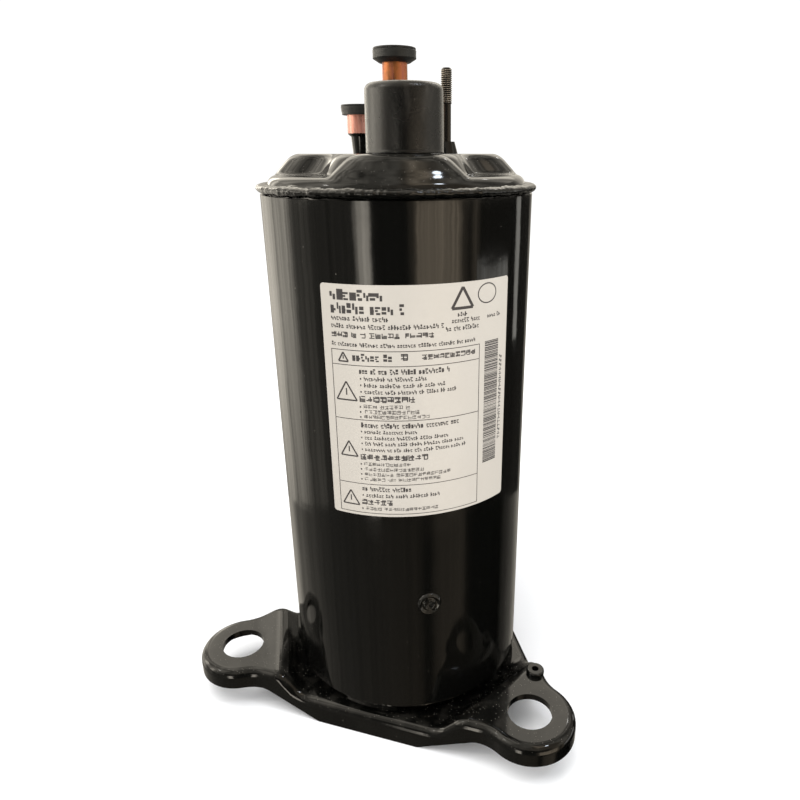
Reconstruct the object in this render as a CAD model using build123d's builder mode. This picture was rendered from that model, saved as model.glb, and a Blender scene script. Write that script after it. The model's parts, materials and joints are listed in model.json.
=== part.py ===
from build123d import *
import os
from math import atan2, cos, radians, sin, tan

# Refrigeration rotary compressor: a hermetic shell on a three-eared foot plate, with a
# rolling-piston pump at the bottom, its motor above, and a suction accumulator at the back.
# Millimetres, +Z up. The origin is the centre of the mounting-hole circle, in the plane of
# the ears' undersides. Polar angles are in degrees, anticlockwise from +X.

os.makedirs("parts", exist_ok=True)

# ---- Driving dimensions ------------------------------------------------------------
GAP = 0.03  # between neighbouring round walls of pieces that are fixed together
PRESS_GAP = 0.1  # between the shell and what is pressed into it
TOUCH = 0.02  # between stacked faces of pieces that are fixed together
SEAT = 0.05  # between a piece and what it clips or bolts onto
FREE = 0.3  # between pieces that pass each other

# Shell
SHELL_R = 56.0
WALL = 3.0
SHELL_IN_R = SHELL_R - WALL
SHELL_Z = (-0.4, 221.5)
INSIDE_R = SHELL_IN_R - PRESS_GAP

# Pressed top cap
SKIRT_Z = 211.5
SHOULDER_Z = 228.6
SHOULDER_EDGE = 4.0
PLATEAU_Z = 236.6
LOBES = 3
LOBE_ANGLE = -68.0
LOBE_R = 51.6
LOBE_HALF_ANGLE = 35.0
LOBE_CORNER = 10.0
LOBE_BASE_Z = 226.0
LOBE_SLOPE = (5.6, 10.0)  # how far the lobes' sides lean in, and over what height
LOBE_EDGE = 3.5
INNER_LOBE_EDGE = 1.0
LOBE_INSET = 1.8
VALLEY_R = 32.0
VALLEY_CORNER = 5.0

# Foot plate
FOOT_T = 3.0
BOLT_R = 85.0
EAR_ANGLES = (90, 210, 330)
SIDE_ANGLES = (30, 150, 270)
EAR_HOLE_R = 10.0
EAR_END_R = 20.5
EAR_TRIM = 86.0
EAR_TOP_Z = FOOT_T
EAR_FLANGE_Z = -6.5
FOOT_SIDE = 57.5
FOOT_TOP_Z = -7.4
FOOT_BOTTOM_Z = -18.5
FOOT_OPENING_R = 30.0
RAMP = (56.0, 65.0)
BEND_R = 9.0
NECK_R = 18.0
RIM_R = 4.0
FLANGE_SLOPE = (50.0, 74.0)
EARTH_AT = (71.6, -18.3)
EARTH_HOLE_R = 2.6
EARTH_BOSS_R = 4.2
EARTH_TAP_R = 1.65
EARTH_TOP_Z = 5.2
FOOT_WELD = ((47.5, 0.0), (52.0, 0.0), (50.6, 2.1))  # its section: radius, height above the plate
FOOT_WELD_HALF = 14.0

# Motion and pump
ECCENTRICITY = 4.6
REST_TURN = 135.0  # from the vane to the eccentric at rest
PUMP_Z = 55.0
BLOCK_H = 24.4
BLOCK_Z = (PUMP_Z - BLOCK_H / 2, PUMP_Z + BLOCK_H / 2)
BORE_R = 27.0
JOURNAL_R = 9.0
JOURNAL_GAP = 0.02
ECCENTRIC_R = 16.0
ROLLER_R = 22.35
VANE_ANGLE = 150.0
VANE_T = 4.0
VANE_LENGTH = 19.0
SIDE_GAP = 0.02
SLOT_END_R = 48.5
SPRING_R = 3.6
MAIN_FLANGE_Z = (BLOCK_Z[1], BLOCK_Z[1] + 12)
SUB_FLANGE_Z = (BLOCK_Z[0] - 9, BLOCK_Z[0])
FLANGE_R = 42.8
MAIN_HUB = (14.0, 115.0)
SUB_HUB = (12.0, 22.0)
SHAFT_Z = (20.0, 205.0)
BOLT_CIRCLE_R = 38.5
PUMP_BOLT_R = 2.5
PUMP_BOLT_HEAD = (4.2, 4.6)
PUMP_BOLT_ANGLES = (30, 90, 180, 240, 300)
PASSAGE = (44.5, 49.5)
PASSAGE_ANGLES = (5, 65, 270)
PASSAGE_HALF = 14.0

# Discharge valve, on the main bearing's flange
PORT_AT = (-21.7, 5.8)
RIVET_AT = (-21.7, -18.2)
PORT_R = 3.5
VALVE_FLOOR_Z = 74.2
VALVE_POCKET_W = 10.6
HEEL_POCKET = (5.1, 0.7)  # radius and depth of the relief under the reed's fixed end
RIVET_DEPTH = 4.2
REED_T = 0.35
REED_W = 9.0
VALVE_LIFT = 6.0

# Motor
STATOR_Z = (128.0, 196.0)
STATOR_IN_R = 28.5
SLOTS = 24
SLOT_R = (31.3, 43.7)
END_TURN = (31.0, 49.0, 19.6)
ROTOR_R = 28.0
ROTOR_Z = (127.0, 197.0)
CAGE_BARS = 30
CAGE_R = 24.5
BAR_R = 1.8
END_RING_R = (18.0, 27.5)
END_RING_H = 8.0
RIVET_R = 1.5
RIVET_CIRCLE_R = 20.6
WEIGHT_R = (17.5, 27.0)
WEIGHT_H = (10.0, 12.0)
WEIGHT_HALF_ANGLE = 84.0

# Terminal and the top fittings
TERMINAL_AT = (12.7, -24.3)
TERMINAL_R = 10.0
TERMINAL_FLANGE_R = 11.4
TERMINAL_FLANGE_T = 1.4
TERMINAL_EDGE = 1.2
CUP_Z = (230.2, 238.6)
CUP_T = 1.6
PINS = 3
PIN_START = -60.0
PIN_R = 1.6
PIN_SHANK_R = 1.3
PIN_CIRCLE_R = 5.5
PIN_Z = (224.0, 250.0)
PIN_STEP_Z = 240.1
PIN_TIP = 0.5
GLASS_R = 3.1
GLASS_Z = (236.2, 239.6)
COVER_R = 14.5
COVER_WALL = 1.5
COVER_TOP_Z = 260.5
COVER_EDGE = 2.6
PIPE_R = 5.0
PIPE_WALL = 0.95
PIPE_Z = (224.0, 273.6)
CAP_TOP = 2.0
CAP_EDGE = 0.7
BRAZE = (3.0, 2.4)
DISCHARGE_CAP_R = 8.6
DISCHARGE_CAP_LOW_Z = 270.1
DISCHARGE_CAP_FOOT = (2.7, 1.3)
SUCTION_CAP_R = 10.4
SUCTION_CAP_LOW_Z = 255.4
SUCTION_CAP_FOOT = (0.6, 3.9)
CAP_GRIP = 0.04
STUD_AT = (13.0, 27.1)
STUD_R = 2.45
STUD_SHANK_R = 2.0
STUD_THREAD_Z = (257.2, 270.9)
STUD_TIP = 0.6
STUD_BOSS_R = (5.0, 3.6)
STUD_BOSS_TOP_Z = 241.6

# Accumulator and suction line
SUCTION_ANGLE = 123.2
ACC_AT_R = 87.4
ACC_R = 27.0
ACC_WALL = 1.6
ACC_Z = (84.0, 232.0)
ACC_CORNER = 13.0
BELL_R = 7.4
BELL_BORE_R = 6.4
BELL_Z = (246.3, 258.4)
NECK_TAPER = ((236.6, 5.0), (245.0, 5.75))
TUBE_R = 6.5
TUBE_WALL = 1.0
TUBE_TOP_Z = 190.0
TUBE_BEND = 22.0
TUBE_END_R = 42.0
SLEEVE_R = 9.0
SLEEVE_REACH = (53.2, 64.0)
BRACKET_Z = (150.0, 175.0)
BRACKET_T = 2.0
BAND_T = 1.2
CLAMP_V = 32.8

# Label and plug welds
LABEL_POLAR = (-100.0, -21.0)
LABEL_Z = (98.7, 192.8)
LABEL_T = 0.15
LABEL_CORNER = 4.0
PLUG_R = 5.15
PLUG_ANGLES = (-59.3, 60.7, 180.7)


# ---- Helpers -----------------------------------------------------------------------
def polar(radius, angle):
    """The point at a radius and polar angle, as (x, y)."""
    return (radius * cos(radians(angle)), radius * sin(radians(angle)))


def along(angle, reach, across):
    """The point reach along a polar angle and across to its left, as (x, y)."""
    ahead = polar(reach, angle)
    left = polar(across, angle + 90)
    return (ahead[0] + left[0], ahead[1] + left[1])


def side_plane(angle, origin=(0, 0, 0)):
    """An upright plane: x outwards along the polar angle, y up."""
    return Plane(
        origin=origin,
        x_dir=(*polar(1, angle), 0),
        z_dir=(*polar(1, angle - 90), 0),
    )


def facing_plane(angle, radius, height):
    """An upright plane that faces outwards along the polar angle, at a radius."""
    return Plane(
        origin=(*polar(radius, angle), height),
        x_dir=(*polar(1, angle + 90), 0),
        z_dir=(*polar(1, angle), 0),
    )


def level_plane(angle, height):
    """A horizontal plane with x outwards along the polar angle."""
    return Plane(origin=(0, 0, height), x_dir=(*polar(1, angle), 0), z_dir=(0, 0, 1))


def ring_sector(inner, outer, middle, half, centre=(0, 0)):
    """A sketch face between two radii, to both sides of a middle angle, in degrees."""
    with BuildSketch() as sector:
        with BuildLine():
            far = CenterArc(centre, outer, middle - half, 2 * half)
            near = CenterArc(centre, inner, middle - half, 2 * half)
            Line(far @ 0, near @ 0)
            Line(far @ 1, near @ 1)
        make_face()
    return sector.sketch


def tube(outer, inner, low, high, centre=(0, 0)):
    """An upright tube, or a rod where inner is 0."""
    with BuildPart() as body:
        with BuildSketch(Plane.XY.offset(low)):
            with Locations(centre):
                Circle(outer)
                if inner:
                    Circle(inner, mode=Mode.SUBTRACT)
        extrude(amount=high - low)
    return body


def save(name, piece):
    """Label a finished piece and write it as its own STEP file."""
    piece.part.label = name
    export_step(piece.part, f"parts/{name}.step")


# ---- Shell -------------------------------------------------------------------------
# A steel tube with a hole for the suction sleeve and one for each plug weld.
with BuildPart() as shell_body:
    with BuildSketch(Plane.XY.offset(SHELL_Z[0])):
        Circle(SHELL_R)
        Circle(SHELL_IN_R, mode=Mode.SUBTRACT)
    extrude(amount=SHELL_Z[1] - SHELL_Z[0])
    with BuildSketch(facing_plane(SUCTION_ANGLE, SHELL_IN_R - WALL, PUMP_Z)):
        Circle(SLEEVE_R + GAP)
    extrude(amount=3 * WALL, mode=Mode.SUBTRACT)
    for plug_angle in PLUG_ANGLES:
        with BuildSketch(facing_plane(plug_angle, SHELL_IN_R - WALL, PUMP_Z)):
            Circle(PLUG_R + GAP)
        extrude(amount=3 * WALL, mode=Mode.SUBTRACT)
save("shell_body", shell_body)


# ---- Top cap -----------------------------------------------------------------------
def pressed_lobes(base_z, inset, edge):
    """The cap's three raised lobes as one tapered solid, joined at the middle."""
    reach = 2 * LOBE_R
    spread = reach * tan(radians(LOBE_HALF_ANGLE))
    with BuildPart() as lobes:
        with BuildSketch(Plane.XY.offset(base_z)) as plan:
            with PolarLocations(0, LOBES, start_angle=LOBE_ANGLE):
                Polygon((0, 0), (reach, -spread), (reach, spread), align=None)
            Circle(LOBE_R - inset, mode=Mode.INTERSECT)
            Circle(VALLEY_R - inset)
            tips = plan.vertices().filter_by(lambda v: v.center().length > LOBE_R - inset - 1)
            fillet(tips, LOBE_CORNER - inset)
            roots = plan.vertices().filter_by(lambda v: v.center().length < VALLEY_R - inset + 1)
            fillet(roots, VALLEY_CORNER)
        extrude(amount=PLATEAU_Z - LOBE_BASE_Z)
        top = lobes.faces().sort_by(Axis.Z)[-1]
        chamfer(top.edges(), length=LOBE_SLOPE[0], length2=LOBE_SLOPE[1], reference=top)
        fillet(lobes.faces().sort_by(Axis.Z)[-1].edges(), edge)
    return lobes


outer_lobes = pressed_lobes(LOBE_BASE_Z, 0, LOBE_EDGE)
inner_lobes = pressed_lobes(LOBE_BASE_Z - WALL, LOBE_INSET, INNER_LOBE_EDGE)

with BuildPart() as top_cap:
    with BuildSketch(Plane.XY.offset(SKIRT_Z)):
        Circle(INSIDE_R)
    extrude(amount=SHOULDER_Z - SKIRT_Z)
    fillet(top_cap.faces().sort_by(Axis.Z)[-1].edges(), SHOULDER_EDGE)
    add(outer_lobes.part)
    with BuildSketch(Plane.XY.offset(SKIRT_Z)):
        Circle(INSIDE_R - WALL)
    extrude(amount=SHOULDER_Z - WALL - SKIRT_Z, mode=Mode.SUBTRACT)
    add(inner_lobes.part, mode=Mode.SUBTRACT)
    with BuildSketch(Plane.XY.offset(PLATEAU_Z)):
        Circle(PIPE_R + GAP)
        with Locations(TERMINAL_AT):
            Circle(TERMINAL_R + GAP)
    extrude(amount=-2 * WALL, mode=Mode.SUBTRACT)
save("top_cap", top_cap)


def weld_bead(centre, half_size, low, high):
    """A weld bead round the shell: an elliptical section trimmed to where it can flow."""
    with BuildPart() as bead:
        with BuildSketch(Plane.XZ):
            with Locations(centre):
                Ellipse(*half_size)
            with Locations((SHELL_IN_R - SEAT, low)):
                Rectangle(
                    SHELL_R,
                    high - low,
                    align=(Align.MIN, Align.MIN),
                    mode=Mode.INTERSECT,
                )
        revolve(axis=Axis.Z)
    return bead


TOP_BEAD_AT = (54.9, 223.8)
TOP_BEAD_HALF = (3.4, 2.6)
top_weld_bead = weld_bead(TOP_BEAD_AT, TOP_BEAD_HALF, SHELL_Z[1] + TOUCH, SHOULDER_Z)
save("top_weld_bead", top_weld_bead)

# ---- Bottom cap --------------------------------------------------------------------
BOTTOM_SKIRT_Z = 12.0
BOTTOM_CORNER = 8.0
with BuildPart() as bottom_cap:
    with BuildSketch(Plane.XY.offset(FOOT_TOP_Z)):
        Circle(INSIDE_R)
    extrude(amount=BOTTOM_SKIRT_Z - FOOT_TOP_Z)
    fillet(bottom_cap.faces().sort_by(Axis.Z)[0].edges(), BOTTOM_CORNER)
    offset(amount=-WALL, openings=bottom_cap.faces().sort_by(Axis.Z)[-1])
save("bottom_cap", bottom_cap)

BOTTOM_BEAD_AT = (54.3, -1.5)
BOTTOM_BEAD_HALF = (1.5, 1.1)
bottom_weld_bead = weld_bead(BOTTOM_BEAD_AT, BOTTOM_BEAD_HALF, FOOT_TOP_Z, SHELL_Z[0] - TOUCH)
save("bottom_weld_bead", bottom_weld_bead)

# Plug welds: molten metal fills each hole in the shell and holds the pump's cylinder.
PLUG_TOP_R = 57.0
PIT_R = 2.2
PIT_RISE = 0.8
with BuildPart() as plug_welds:
    for plug_angle in PLUG_ANGLES:
        with BuildSketch(facing_plane(plug_angle, SHELL_IN_R, PUMP_Z)):
            Circle(PLUG_R)
        extrude(amount=PLUG_TOP_R - SHELL_IN_R)
    for plug_angle in PLUG_ANGLES:
        with Locations((*polar(PLUG_TOP_R + PIT_RISE, plug_angle), PUMP_Z)):
            Sphere(PIT_R, mode=Mode.SUBTRACT)
save("plug_welds", plug_welds)


# ---- Foot plate --------------------------------------------------------------------
def side_reach(vertex):
    """How far a vertex stands out towards the long side of the foot plate nearest to it."""
    outward = [polar(1, angle) for angle in SIDE_ANGLES]
    return max(vertex.X * x + vertex.Y * y for x, y in outward)


def foot_plan(inset):
    """The plate's outline: a triangle with a round ear at each corner, drawn in by inset."""
    half_end = (2 * FOOT_SIDE - EAR_TRIM) * tan(radians(30))
    corners = [
        along(angle, EAR_TRIM, side * half_end) for angle in EAR_ANGLES for side in (-1, 1)
    ]
    with BuildSketch() as plan:
        Polygon(*corners, align=None)
        with Locations(*[polar(BOLT_R, angle) for angle in EAR_ANGLES]):
            Circle(EAR_END_R)
        necks = plan.vertices().filter_by(lambda v: abs(side_reach(v) - FOOT_SIDE) < TOUCH)
        fillet(necks, NECK_R)
        if inset:
            offset(amount=-inset, mode=Mode.REPLACE)
    return plan.sketch


def foot_form(inset, drop, rim):
    """The plate's filled form: low in the middle, ramped up to each ear, its rim rounded."""
    reach = BOLT_R + 2 * EAR_END_R
    ramp_angle = atan2(EAR_TOP_Z - FOOT_TOP_Z, RAMP[1] - RAMP[0])
    shift = drop * tan(ramp_angle / 2)
    low = FOOT_BOTTOM_Z - drop
    with BuildPart() as form:
        for angle in EAR_ANGLES:
            with BuildSketch(side_plane(angle)) as section:
                with BuildLine():
                    Polyline(
                        (0, low),
                        (0, FOOT_TOP_Z - drop),
                        (RAMP[0] + shift, FOOT_TOP_Z - drop),
                        (RAMP[1] + shift, EAR_TOP_Z - drop),
                        (reach, EAR_TOP_Z - drop),
                        (reach, low),
                        close=True,
                    )
                make_face()
                bends = section.vertices().filter_by(lambda v: 0 < v.X < reach)
                fillet(bends, BEND_R)
            extrude(amount=reach, both=True)
        with BuildSketch(Plane.XY.offset(low)):
            add(foot_plan(inset))
        extrude(amount=EAR_TOP_Z - low, mode=Mode.INTERSECT)
        middle = foot_plan(inset + 1).faces()[0]
        rim_edges = form.edges().filter_by(
            lambda e: (e @ 0.5).Z > low + 1
            and abs((e % 0.5).Z) < 0.99
            and not middle.is_inside(Vector((e @ 0.5).X, (e @ 0.5).Y, 0))
        )
        fillet(rim_edges, rim)
    return form


foot_outside = foot_form(0, 0, RIM_R)
foot_inside = foot_form(FOOT_T, FOOT_T, RIM_R - FOOT_T)
FLANGE_CUT_LOW_Z = FOOT_BOTTOM_Z - 0.1
FLANGE_CUT_CORNER = 8.0
with BuildPart() as foot_plate:
    add(foot_outside.part)
    add(foot_inside.part, mode=Mode.SUBTRACT)
    for ear_angle in EAR_ANGLES:
        with BuildSketch(side_plane(ear_angle)) as flange_cut:
            with BuildLine():
                Polyline(
                    (FLANGE_SLOPE[0], FLANGE_CUT_LOW_Z),
                    (FLANGE_SLOPE[1], EAR_FLANGE_Z),
                    (BOLT_R + 2 * EAR_END_R, EAR_FLANGE_Z),
                    (BOLT_R + 2 * EAR_END_R, FLANGE_CUT_LOW_Z),
                    close=True,
                )
            make_face()
            fillet(flange_cut.vertices().sort_by(Axis.X)[1], FLANGE_CUT_CORNER)
        extrude(amount=2 * EAR_END_R, both=True, mode=Mode.SUBTRACT)
    with BuildSketch(Plane.XY.offset(FOOT_BOTTOM_Z)):
        Circle(FOOT_OPENING_R)
        with Locations(*[polar(BOLT_R, angle) for angle in EAR_ANGLES]):
            Circle(EAR_HOLE_R)
        with Locations(EARTH_AT):
            Circle(EARTH_HOLE_R)
    extrude(amount=EAR_TOP_Z - FOOT_BOTTOM_Z, mode=Mode.SUBTRACT)
save("foot_plate", foot_plate)

# Earth boss: a small tapped bush staked into the hole beside the right ear.
EARTH_LOW_Z = EAR_TOP_Z - FOOT_T - 0.5
EARTH_EDGE = 0.8
with BuildPart() as foot_earth_boss:
    with BuildSketch(Plane.XY.offset(EARTH_LOW_Z)):
        with Locations(EARTH_AT):
            Circle(EARTH_HOLE_R - GAP)
    extrude(amount=EARTH_TOP_Z - EARTH_LOW_Z)
    with BuildSketch(Plane.XY.offset(EAR_TOP_Z)):
        with Locations(EARTH_AT):
            Circle(EARTH_BOSS_R)
    extrude(amount=EARTH_TOP_Z - EAR_TOP_Z)
    fillet(foot_earth_boss.faces().sort_by(Axis.Z)[-1].edges(), EARTH_EDGE)
    with BuildSketch(Plane.XY.offset(EARTH_LOW_Z)):
        with Locations(EARTH_AT):
            Circle(EARTH_TAP_R)
    extrude(amount=EARTH_TOP_Z - EARTH_LOW_Z, mode=Mode.SUBTRACT)
save("foot_earth_boss", foot_earth_boss)

# Fillet welds that hold the bottom cap on the foot plate, one facing each long side.
with BuildPart() as foot_welds:
    for side_angle in SIDE_ANGLES:
        with BuildSketch(side_plane(side_angle - FOOT_WELD_HALF, (0, 0, FOOT_TOP_Z + TOUCH))):
            Polygon(*FOOT_WELD, align=None)
        revolve(axis=Axis.Z, revolution_arc=2 * FOOT_WELD_HALF)
save("foot_welds", foot_welds)

# ---- Discharge pipe ----------------------------------------------------------------
discharge_pipe = tube(PIPE_R, PIPE_R - PIPE_WALL, *PIPE_Z)
save("discharge_pipe", discharge_pipe)

# Braze fillet where the pipe passes through the cap.
with BuildPart() as discharge_braze:
    with BuildSketch(Plane.XZ):
        Polygon(
            (PIPE_R + GAP, PLATEAU_Z + TOUCH),
            (PIPE_R + BRAZE[0], PLATEAU_Z + TOUCH),
            (PIPE_R + GAP, PLATEAU_Z + BRAZE[1]),
            align=None,
        )
    revolve(axis=Axis.Z)
save("discharge_braze", discharge_braze)


def rubber_cap(radius, foot, low, pipe_radius, pipe_top, centre):
    """A cup-shaped transport cap on a pipe's open end; foot is how its lower edge draws in."""
    with BuildPart() as cap:
        with BuildSketch(Plane.XY.offset(low)):
            with Locations(centre):
                Circle(radius)
        extrude(amount=pipe_top + CAP_TOP - low)
        underside = cap.faces().sort_by(Axis.Z)[0]
        chamfer(underside.edges(), length=foot[0], length2=foot[1], reference=underside)
        fillet(cap.faces().sort_by(Axis.Z)[-1].edges(), CAP_EDGE)
        with BuildSketch(Plane.XY.offset(low)):
            with Locations(centre):
                Circle(pipe_radius + CAP_GRIP)
        extrude(amount=pipe_top + TOUCH - low, mode=Mode.SUBTRACT)
    return cap


discharge_cap = rubber_cap(
    DISCHARGE_CAP_R,
    DISCHARGE_CAP_FOOT,
    DISCHARGE_CAP_LOW_Z,
    PIPE_R,
    PIPE_Z[1],
    (0, 0),
)
save("discharge_cap", discharge_cap)

# ---- Terminal ----------------------------------------------------------------------
def pin_circles(radius, height):
    """A circle round each terminal pin's axis, on a level plane."""
    with BuildSketch(Plane.XY.offset(height)) as circles:
        with Locations(TERMINAL_AT):
            with PolarLocations(PIN_CIRCLE_R, PINS, start_angle=PIN_START):
                Circle(radius)
    return circles.sketch


with BuildPart() as terminal_body:
    with BuildSketch(Plane.XY.offset(CUP_Z[0])):
        with Locations(TERMINAL_AT):
            Circle(TERMINAL_R)
    extrude(amount=CUP_Z[1] - CUP_Z[0])
    fillet(terminal_body.faces().sort_by(Axis.Z)[-1].edges(), TERMINAL_EDGE)
    with BuildSketch(Plane.XY.offset(CUP_Z[0])):
        with Locations(TERMINAL_AT):
            Circle(TERMINAL_FLANGE_R)
    extrude(amount=TERMINAL_FLANGE_T)
    with BuildSketch(Plane.XY.offset(CUP_Z[0])):
        with Locations(TERMINAL_AT):
            Circle(TERMINAL_R - CUP_T)
    extrude(amount=CUP_Z[1] - CUP_Z[0] - CUP_T, mode=Mode.SUBTRACT)
    extrude(pin_circles(GLASS_R + GAP, CUP_Z[1]), amount=-2 * CUP_T, mode=Mode.SUBTRACT)
save("terminal_body", terminal_body)

with BuildPart() as terminal_glass:
    extrude(pin_circles(GLASS_R, GLASS_Z[0]), amount=GLASS_Z[1] - GLASS_Z[0])
    seal_holes = pin_circles(PIN_SHANK_R + GAP, GLASS_Z[0])
    extrude(seal_holes, amount=GLASS_Z[1] - GLASS_Z[0], mode=Mode.SUBTRACT)
save("terminal_glass", terminal_glass)

# The pins are thinner through the glass than above it.
with BuildPart() as terminal_pins:
    extrude(pin_circles(PIN_SHANK_R, PIN_Z[0]), amount=PIN_STEP_Z - PIN_Z[0])
    extrude(pin_circles(PIN_R, PIN_STEP_Z), amount=PIN_Z[1] - PIN_STEP_Z)
    chamfer(terminal_pins.faces().group_by(Axis.Z)[-1].edges(), PIN_TIP)
save("terminal_pins", terminal_pins)

with BuildPart() as terminal_cover:
    with BuildSketch(Plane.XY.offset(PLATEAU_Z + SEAT)):
        with Locations(TERMINAL_AT):
            Circle(COVER_R)
    extrude(amount=COVER_TOP_Z - PLATEAU_Z - SEAT)
    fillet(terminal_cover.faces().sort_by(Axis.Z)[-1].edges(), COVER_EDGE)
    with BuildSketch(Plane.XY.offset(PLATEAU_Z)):
        with Locations(TERMINAL_AT):
            Circle(COVER_R - COVER_WALL)
    extrude(amount=COVER_TOP_Z - 2 * COVER_WALL - PLATEAU_Z, mode=Mode.SUBTRACT)
save("terminal_cover", terminal_cover)

# Connector block on the pins' inner ends, and the three motor leads that run to it.
CONNECTOR_R = 10.0
CONNECTOR_Z = (PIN_Z[0] - 2.5, PIN_Z[0] + 5)
CONNECTOR_EDGE = 0.8
with BuildPart() as lead_connector:
    with BuildSketch(Plane.XY.offset(CONNECTOR_Z[0])):
        with Locations(TERMINAL_AT):
            Circle(CONNECTOR_R)
    extrude(amount=CONNECTOR_Z[1] - CONNECTOR_Z[0])
    fillet(lead_connector.edges().filter_by(GeomType.CIRCLE), CONNECTOR_EDGE)
    sockets = pin_circles(PIN_SHANK_R + GAP, CONNECTOR_Z[1])
    extrude(sockets, amount=PIN_Z[0] - CONNECTOR_Z[1], mode=Mode.SUBTRACT)
save("lead_connector", lead_connector)

LEAD_R = 1.2
LEAD_ANGLES = (-92, -62, -32)  # where each lead leaves the end turns
LEAD_LEAVE_R = 43.5
LEAD_BEND = 3.0
LEAD_Z = (STATOR_Z[1] + END_TURN[2] + 0.5, CONNECTOR_Z[0] + 2)


def lead(angle):
    """One motor lead: up from the end turns, then level into the connector's side."""
    start = Vector(*polar(LEAD_LEAVE_R, angle), LEAD_Z[0])
    bend = Vector(start.X, start.Y, LEAD_Z[1])
    hub = Vector(*TERMINAL_AT, LEAD_Z[1])
    end = hub + (bend - hub).normalized() * (CONNECTOR_R + SEAT)
    with BuildPart() as wire:
        with BuildLine() as route:
            FilletPolyline(start, bend, end, radius=LEAD_BEND)
        with BuildSketch(Plane(origin=start, z_dir=(0, 0, 1))):
            Circle(LEAD_R)
        sweep(path=route.line)
    return wire.part


with BuildPart() as lead_wires:
    for lead_angle in LEAD_ANGLES:
        add(lead(lead_angle))
save("lead_wires", lead_wires)

# ---- Cover stud --------------------------------------------------------------------
with BuildPart() as cover_stud:
    with BuildSketch(Plane.XY.offset(PLATEAU_Z + SEAT)):
        with Locations(STUD_AT):
            Circle(STUD_SHANK_R)
    extrude(amount=STUD_THREAD_Z[0] - PLATEAU_Z)
    with BuildSketch(Plane.XY.offset(STUD_THREAD_Z[0])):
        with Locations(STUD_AT):
            Circle(STUD_R)
    extrude(amount=STUD_THREAD_Z[1] - STUD_THREAD_Z[0])
    chamfer(cover_stud.faces().sort_by(Axis.Z)[-1].edges(), STUD_TIP)
save("cover_stud", cover_stud)

with BuildPart() as stud_boss:
    with BuildSketch(Plane.XY.offset(PLATEAU_Z + TOUCH)):
        with Locations(STUD_AT):
            Circle(STUD_BOSS_R[0])
    with BuildSketch(Plane.XY.offset(STUD_BOSS_TOP_Z)):
        with Locations(STUD_AT):
            Circle(STUD_BOSS_R[1])
    loft()
    with BuildSketch(Plane.XY.offset(PLATEAU_Z)):
        with Locations(STUD_AT):
            Circle(STUD_SHANK_R + GAP)
    extrude(amount=STUD_BOSS_TOP_Z - PLATEAU_Z, mode=Mode.SUBTRACT)
save("stud_boss", stud_boss)

# ---- Nameplate label ---------------------------------------------------------------
LABEL_MIDDLE = (LABEL_POLAR[0] + LABEL_POLAR[1]) / 2
with BuildPart() as nameplate_label:
    with BuildSketch(Plane.XY.offset(LABEL_Z[0])):
        add(
            ring_sector(
                SHELL_R + TOUCH,
                SHELL_R + TOUCH + LABEL_T,
                LABEL_MIDDLE,
                (LABEL_POLAR[1] - LABEL_POLAR[0]) / 2,
            )
        )
    extrude(amount=LABEL_Z[1] - LABEL_Z[0])
    corners = nameplate_label.edges().filter_by(lambda e: e.length < 2 * LABEL_T)
    fillet(corners, LABEL_CORNER)
save("nameplate_label", nameplate_label)

# ---- Accumulator and suction line --------------------------------------------------
ACC_AT = polar(ACC_AT_R, SUCTION_ANGLE)
with BuildPart() as accumulator_body:
    with BuildSketch(Plane.XY.offset(ACC_Z[0])):
        with Locations(ACC_AT):
            Circle(ACC_R)
    extrude(amount=ACC_Z[1] - ACC_Z[0])
    fillet(accumulator_body.edges().filter_by(GeomType.CIRCLE), ACC_CORNER)
    offset(amount=-ACC_WALL, mode=Mode.SUBTRACT)
    with BuildSketch(Plane.XY.offset(ACC_Z[1])):
        with Locations(ACC_AT):
            Circle(NECK_TAPER[0][1] + GAP)
    extrude(amount=-ACC_CORNER, mode=Mode.SUBTRACT)
    with BuildSketch(Plane.XY.offset(ACC_Z[0])):
        with Locations(ACC_AT):
            Circle(TUBE_R + GAP)
    extrude(amount=ACC_CORNER, mode=Mode.SUBTRACT)
save("accumulator_body", accumulator_body)

# The inlet pipe tapers out below the bell that the suction line is brazed into.
INLET_LOW_Z = ACC_Z[1] - 6
INLET_BORE_R = 4.1
BELL_FLOOR_Z = 247.0
BELL_FLOOR_DROP = 1.2
with BuildPart() as accumulator_inlet_pipe:
    with BuildSketch(side_plane(0, (*ACC_AT, 0))):
        Polygon(
            (INLET_BORE_R, INLET_LOW_Z),
            (NECK_TAPER[0][1], INLET_LOW_Z),
            (NECK_TAPER[0][1], NECK_TAPER[0][0]),
            (NECK_TAPER[1][1], NECK_TAPER[1][0]),
            (BELL_R, BELL_Z[0]),
            (BELL_R, BELL_Z[1]),
            (BELL_BORE_R, BELL_Z[1]),
            (BELL_BORE_R, BELL_FLOOR_Z),
            (INLET_BORE_R, BELL_FLOOR_Z - BELL_FLOOR_DROP),
            align=None,
        )
    revolve(axis=Axis((*ACC_AT, 0), (0, 0, 1)))
save("accumulator_inlet_pipe", accumulator_inlet_pipe)

suction_cap = rubber_cap(
    SUCTION_CAP_R,
    SUCTION_CAP_FOOT,
    SUCTION_CAP_LOW_Z,
    BELL_R,
    BELL_Z[1],
    ACC_AT,
)
save("suction_cap", suction_cap)

# Inside the accumulator: a fine screen below the inlet, and a baffle over the standpipe.
SCREEN_Z = 212.0
BAFFLE_Z = 200.0
SCREEN_T = 0.8
BAFFLE_T = 1.0
SCREEN_HOLE_R = 1.6
BAFFLE_HOLE_R = 4.0
SCREEN_HOLES = ((8, 6), (14, 10), (20, 14))
BAFFLE_HOLES = ((18, 6),)


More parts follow.
